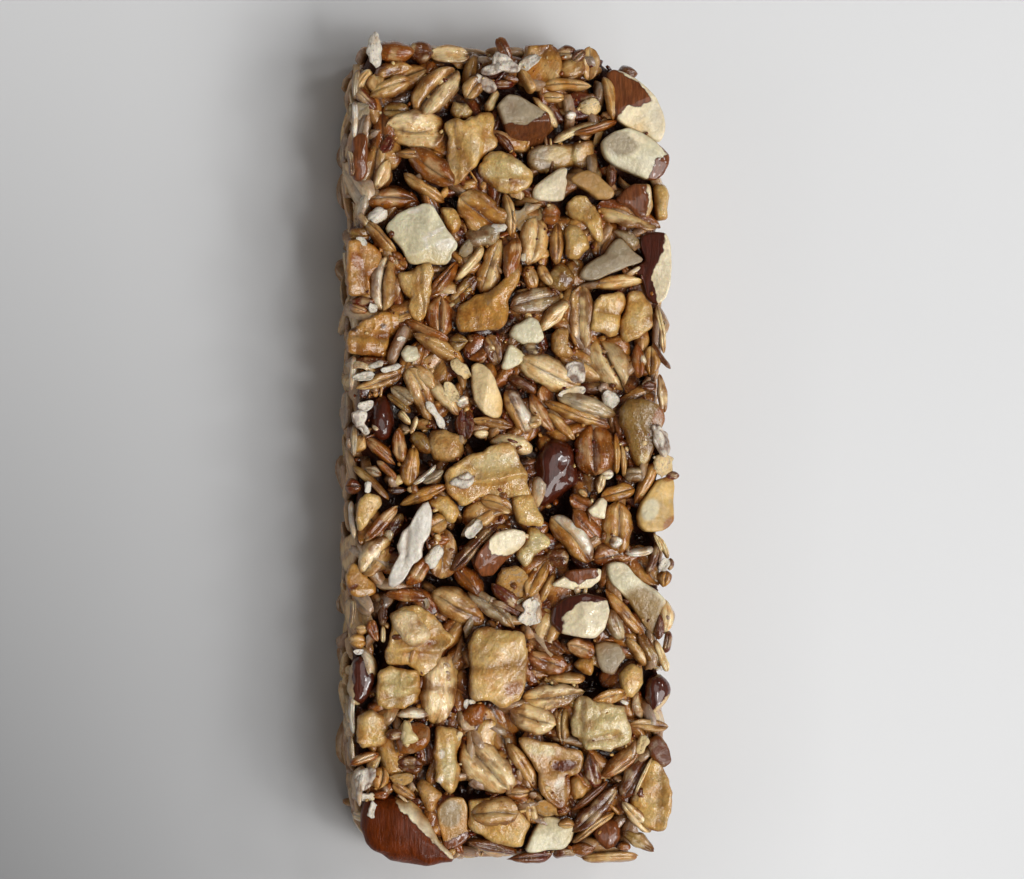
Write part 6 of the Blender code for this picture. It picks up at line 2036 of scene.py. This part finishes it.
def almond_material(name, skin_look, skin_gain, coat, ripple=0.8):
    """Almond: smooth pale flesh where it is cut, finely ribbed brown skin elsewhere."""
    t = Tree(name)
    grain = t.attribute("grain", "Vector")
    edge = t.attribute("skin", "Fac")
    rib = t.noise(grain, 0.9, 5.0, (0.55, 3.4, 2.6))
    fine = t.noise(grain, 4.0, 3.0)
    cloud = t.noise(grain, 0.6, 4.0)
    border = t.math("ADD", edge, t.remap(t.noise(grain, 0.9, 2.0), 0.3, 0.7, -0.2, 0.2))
    share = t.remap(border, -0.03, 0.03)
    flesh = shaded(t, t.attribute("tint", "Color"), cloud, 0.86, 1.10)
    flesh = shaded(t, flesh, t.noise(grain, 2.0, 5.0), 0.88, 1.10)
    flesh = spotted(t, flesh, t.noise(grain, 1.1, 4.0), 0.52, 0.7, 0.35, rgba("grey", 1.1))
    flesh = spotted(t, flesh, fine, 0.66, 0.76, 0.3, rgba("tan"))
    dark, light = rgba(skin_look, 0.75 * skin_gain), rgba(skin_look, 1.3 * skin_gain)
    skin = t.mix(t.remap(rib, 0.38, 0.66), dark, light)
    skin = spotted(t, skin, cloud, 0.5, 0.7, 0.35, rgba("red", 0.8 * skin_gain))
    skin = spotted(t, skin, fine, 0.66, 0.74, 0.35, rgba("glaze", skin_gain))
    line = t.remap(t.math("ABSOLUTE", border), 0.0, 0.14, 0.75, 0.0)
    colour = t.mix(line, t.mix(share, flesh, skin), rgba("red", 0.5))
    lumps = t.math("MULTIPLY", t.noise(grain, 1.7, 5.0), t.remap(share, 0.0, 1.0, 1.2, 0.0))
    normal = t.bump(t.weighted((rib, share), (fine, 0.25), (share, 0.5), (lumps, 1)), BUMP, 0.8)
    rough = t.remap(cloud, 0.35, 0.65, 0.3, 0.5)
    gloss = t.bump(t.math("ADD", t.noise(grain, 0.7, 2.0), lumps), BUMP, ripple)
    return surface(t, colour, rough, normal, coat, coat_roughness=0.04, translucent=0.15, coat_normal=gloss)


def core_material(name):
    """Wet syrup full of crumbs, on a tint painted dark as shade in the gaps."""
    t = Tree(name)
    grain = t.attribute("grain", "Vector")
    crumbs = t.noise(grain, 0.9, 6.0)
    fine = t.noise(grain, 3.5, 3.0)
    colour = shaded(t, t.attribute("tint", "Color"), crumbs, 0.7, 1.3)
    normal = t.bump(t.weighted((crumbs, 1), (fine, 0.3)), CORE_BUMP)
    rough = t.remap(fine, 0.4, 0.6, 0.35, 0.6)
    return surface(
        t, colour, rough, normal, coat=0.05, coat_roughness=0.08, translucent=0.05, coat_normal=normal)


# ---------------------------------------------------------------------------------------------
# Build the bar.
# ---------------------------------------------------------------------------------------------

# Almonds that are nearly all cut flesh, and almonds with the darkest skin.
CUT_NUTS = ("almond_03", "almond_08", "almond_09", "almond_10", "almond_11", "almond_12", "almond_13")
DARK_SKINS = ("almond_04", "almond_06", "almond_14", "almond_15", "almond_18", "almond_19")
# Almonds from this number on mostly show their skin.
FIRST_SKIN_NUT = 14

# How deep the small chunks go below their top.
FLAKE_DEPTH, NUT_DEPTH, FRUIT_DEPTH, HUSK_DEPTH = 0.8, 4.0, 4.5, 1.6
# A small nut with a thinner rim than this is a flake.
FLAKE_RIM = 0.35
HUSK = Finish("white", rim=0.35, bulge=0.2, rumple=0.4, ragged=0.35, sticky=0.6, crinkle=0.18)

# Pale wisps of husk along the upper edge of the left wall: place along the bar and length.
WISPS = (
    (44.6, 3.4), (40.2, 4.4), (35.0, 3.0), (9.6, 4.0), (1.4, 3.6), (-8.2, 4.6), (-19.6, 3.4),
    (-31.6, 5.0), (-36.0, 3.2), (-40.6, 4.0))
WISP_WIDTH = 0.7
# How far a wisp lies inside the wall, and below the usual level of the top.
WISP_INSET, WISP_LIFT = 0.35, -0.9


def wisp_rows():
    """The wisps as rows for lay_top_row."""
    rows = []
    for number, (y, length) in enumerate(WISPS):
        look = "chalk" if number % 2 else "grey"
        heading = 90 + 6 * (number % 3 - 1)
        x = wall_x(y, -1) + WISP_INSET
        rows.append((x, y, length, WISP_WIDTH, heading, look, "stick", WISP_LIFT))
    return tuple(rows)


def lay_chunk(heap, corners, top, depth, finish, seed, skyline):
    """Add a small chunk to a heap."""
    body = outline_chunk(corners, top, depth, finish, seed)
    HEAPS[heap].add(body)
    skyline.add(body.points)


def lay_chunks(skyline):
    """Lay the CAD chunks, which are returned by name, and the small ones, which go to heaps."""
    chunks = {}
    for number, name in enumerate(FINISHES):
        chunks[name] = cad_chunk(name, SEED + 20 * number)
        skyline.add(chunks[name].points)
    for number, (top, finish, corners) in enumerate(SMALL_NUTS.values()):
        depth = FLAKE_DEPTH if finish.rim < FLAKE_RIM else NUT_DEPTH
        lay_chunk("small_nuts", corners, top, depth, finish, NUT_SEED + 7 * number, skyline)
    for number, (look, top, corners) in enumerate(SMALL_FRUIT):
        finish = Finish(look, rim=0.8, rumple=0.25)
        lay_chunk("small_fruit", corners, top, FRUIT_DEPTH, finish, FRUIT_SEED + 7 * number, skyline)
    for number, (top, corners) in enumerate(HUSKS):
        lay_chunk("flakes", corners, top, HUSK_DEPTH, HUSK, HUSK_SEED + 7 * number, skyline)
    return chunks


def chunk_materials():
    """The material and slot of every CAD chunk, and the materials of the small chunks."""
    fruit = fruit_material("fruit")
    almond = almond_material("almond", "skin", 1.0, 0.6)
    cut_almond = almond_material("cut almond", "skin", 0.9, 0.6)
    dark_almond = almond_material("dark almond", "dark skin", 1.0, 0.9, 0.25)
    special = {
        "almond_02": almond_material("warm almond", "skin", 0.68, 0.45),
        "almond_16": almond_material("bare almond", "warm skin", 0.8, 0.06),
    }
    looks = {}
    for name in FINISHES:
        if name.startswith("fruit"):
            looks[name] = (fruit, "fruit")
            continue
        usual = dark_almond if name in DARK_SKINS else cut_almond if name in CUT_NUTS else almond
        slot = "almond_flesh" if int(name[-2:]) < FIRST_SKIN_NUT else "almond_skin"
        looks[name] = (special.get(name, usual), slot)
    return looks, cut_almond, fruit


def build_bar():
    """Lay every heap and chunk, then make the pieces."""
    random = np.random.default_rng(SEED)
    skyline = Skyline(CORE_TOP)
    chunks = lay_chunks(skyline)
    fill_top(random, skyline)
    for index, row in enumerate(TOP_ROWS + wisp_rows()):
        lay_top_row(row, index, skyline, random)
    core = core_body(skyline)
    scatter_crumbs(random, skyline)
    fill_walls(random)

    oat = oat_material("oat", 0.9, 0.4, 0.7)
    chunk_looks, cut_almond, fruit = chunk_materials()
    special = {
        "flakes": (husk_material("husk"), "oats"),
        "small_nuts": (cut_almond, "almond_flesh"),
        "small_fruit": (fruit, "fruit"),
    }
    soft = skyline.softened(30)
    make_piece("core", stain_and_shade_gaps(core, soft), core_material("core"), ("oat_mass",))
    for name, heap in HEAPS.items():
        material, slot = special.get(name, (oat, "oats"))
        make_piece(name, stain_and_shade_gaps(heap.joined(), soft), material)
    for name, body in chunks.items():
        material, slot = chunk_looks[name]
        make_piece(name + "_real", stain_and_shade_gaps(body, soft), material, (name,))


# ---------------------------------------------------------------------------------------------
# Floor, light and camera.
# ---------------------------------------------------------------------------------------------

FLOOR_SIZE = 3.0
FLOOR_DROP = 0.0001
# The floor's two plain colours, and the colour of the shade painted on it.
FLOOR_COOL, FLOOR_PALE, FLOOR_SHADE = (0.85, 0.86, 0.875, 1), (0.88, 0.89, 0.905, 1), (0.16, 0.16, 0.165, 1)


def build_floor():
    """A plain pale floor with painted shade: a little darker to the left of the bar and towards the near
    end.
    """
    bpy.ops.mesh.primitive_plane_add(size=FLOOR_SIZE, location=(0, 0, -FLOOR_DROP))
    floor = bpy.context.object
    floor.name = "floor"
    t = Tree("floor")
    grain = t.node("ShaderNodeTexCoord").outputs["Object"]
    shade = t.mix(t.remap(t.noise(grain, 9.0, 3.0), 0.3, 0.7), FLOOR_COOL, FLOOR_PALE)
    place = t.node("ShaderNodeSeparateXYZ", {"Vector": grain}).outputs
    # Painted shade: darkest on the left, a little darker again on the right, and less so towards the far
    # end.
    side = t.remap(place["X"], -0.065, 0.045, 1.05, 0.0)
    down = t.remap(place["Y"], -0.060, 0.060, 0.81, 0.10)
    side = t.math("ADD", side, t.remap(place["X"], 0.02, 0.07, 0.0, 0.13))
    # dim is the share of painted shade at each place on the floor.
    dim = t.math("MULTIPLY", side, down)
    shade = t.mix(dim, shade, FLOOR_SHADE)
    t.link(shade, t.shader.inputs["Base Color"])
    t.shader.inputs["Roughness"].default_value = 0.5
    t.shader.inputs["Specular IOR Level"].default_value = 0.3
    floor.data.materials.append(t.material)


def area_light(name, place, target, size, power, colour=(1, 1, 1)):
    """A round lamp at a place, turned to a target. Its size is in metres and its power in watts."""
    lamp = bpy.data.lights.new(name, "AREA")
    lamp.shape = "DISK"
    lamp.size = size
    lamp.energy = power
    lamp.color = colour
    item = bpy.data.objects.new(name, lamp)
    item.location = place
    item.rotation_euler = (Vector(target) - Vector(place)).to_track_quat("-Z", "Y").to_euler()
    bpy.context.collection.objects.link(item)


# Small bright lamps, too weak to light the bar but enough for a sparkle on its syrup.
GLINTS = (
    (0.30, -0.20, 0.36), (0.16, -0.10, 0.50), (0.36, 0.04, 0.34), (0.10, -0.32, 0.38), (0.20, 0.16, 0.44))
GLINT_TARGET, GLINT_SIZE, GLINT_POWER = (0, 0, 0.01), 0.07, 0.17
# The other lamps: name, place, target, size, power, and colour where it is not white.
LAMPS = (
    ("window", (0.64, -0.42, 0.78), (0.05, 0.10, 0), 0.80, 7.25, (1.0, 0.99, 0.975)),
    ("bounce", (-0.55, -0.05, 0.16), (0, 0, 0.01), 0.5, 0.42),
    ("ceiling", (0.10, -0.05, 0.6), (0, 0, 0), 0.3, 0.3),
)
ROOM_COLOUR, ROOM_STRENGTH = (1.0, 0.94, 0.86, 1.0), 0.10


def build_light():
    """A big soft window on the near right, a little light from the left, and a dim warm room."""
    for place in GLINTS:
        area_light("glint", place, GLINT_TARGET, GLINT_SIZE, GLINT_POWER)
    for lamp in LAMPS:
        area_light(*lamp)
    world = bpy.data.worlds.new("soft room")
    world.use_nodes = True
    background = world.node_tree.nodes["Background"]
    background.inputs["Color"].default_value = ROOM_COLOUR
    background.inputs["Strength"].default_value = ROOM_STRENGTH
    bpy.context.scene.world = world


# How far the camera leans to the left and the front, in degrees, and how far away it is, in metres.
CAMERA_LEFT = 9.0
CAMERA_FRONT = 1.0
CAMERA_AWAY = 0.33
CAMERA_TARGET = (0.00015, 0.0016, 0.014)
# Focal length and sensor width in millimetres.
LENS = 95.1
SENSOR = 36.0


def build_camera():
    """Look down on the bar from a little to its left and front."""
    data = bpy.data.cameras.new("camera")
    camera = bpy.data.objects.new("camera", data)
    bpy.context.collection.objects.link(camera)
    lean_x, lean_y = math.tan(math.radians(CAMERA_LEFT)), math.tan(math.radians(CAMERA_FRONT))
    away = Vector((-lean_x, -lean_y, 1.0)).normalized()
    camera.location = Vector(CAMERA_TARGET) + away * CAMERA_AWAY
    right = Vector((0, 1, 0)).cross(away).normalized()
    up = away.cross(right)
    camera.rotation_euler = Matrix((right, up, away)).transposed().to_euler()
    data.sensor_width = SENSOR
    data.lens = LENS
    data.clip_start = 0.01
    data.clip_end = 10.0
    bpy.context.scene.camera = camera


build_bar()
build_floor()
build_light()
build_camera()
bpy.context.scene.view_settings.view_transform = "Standard"
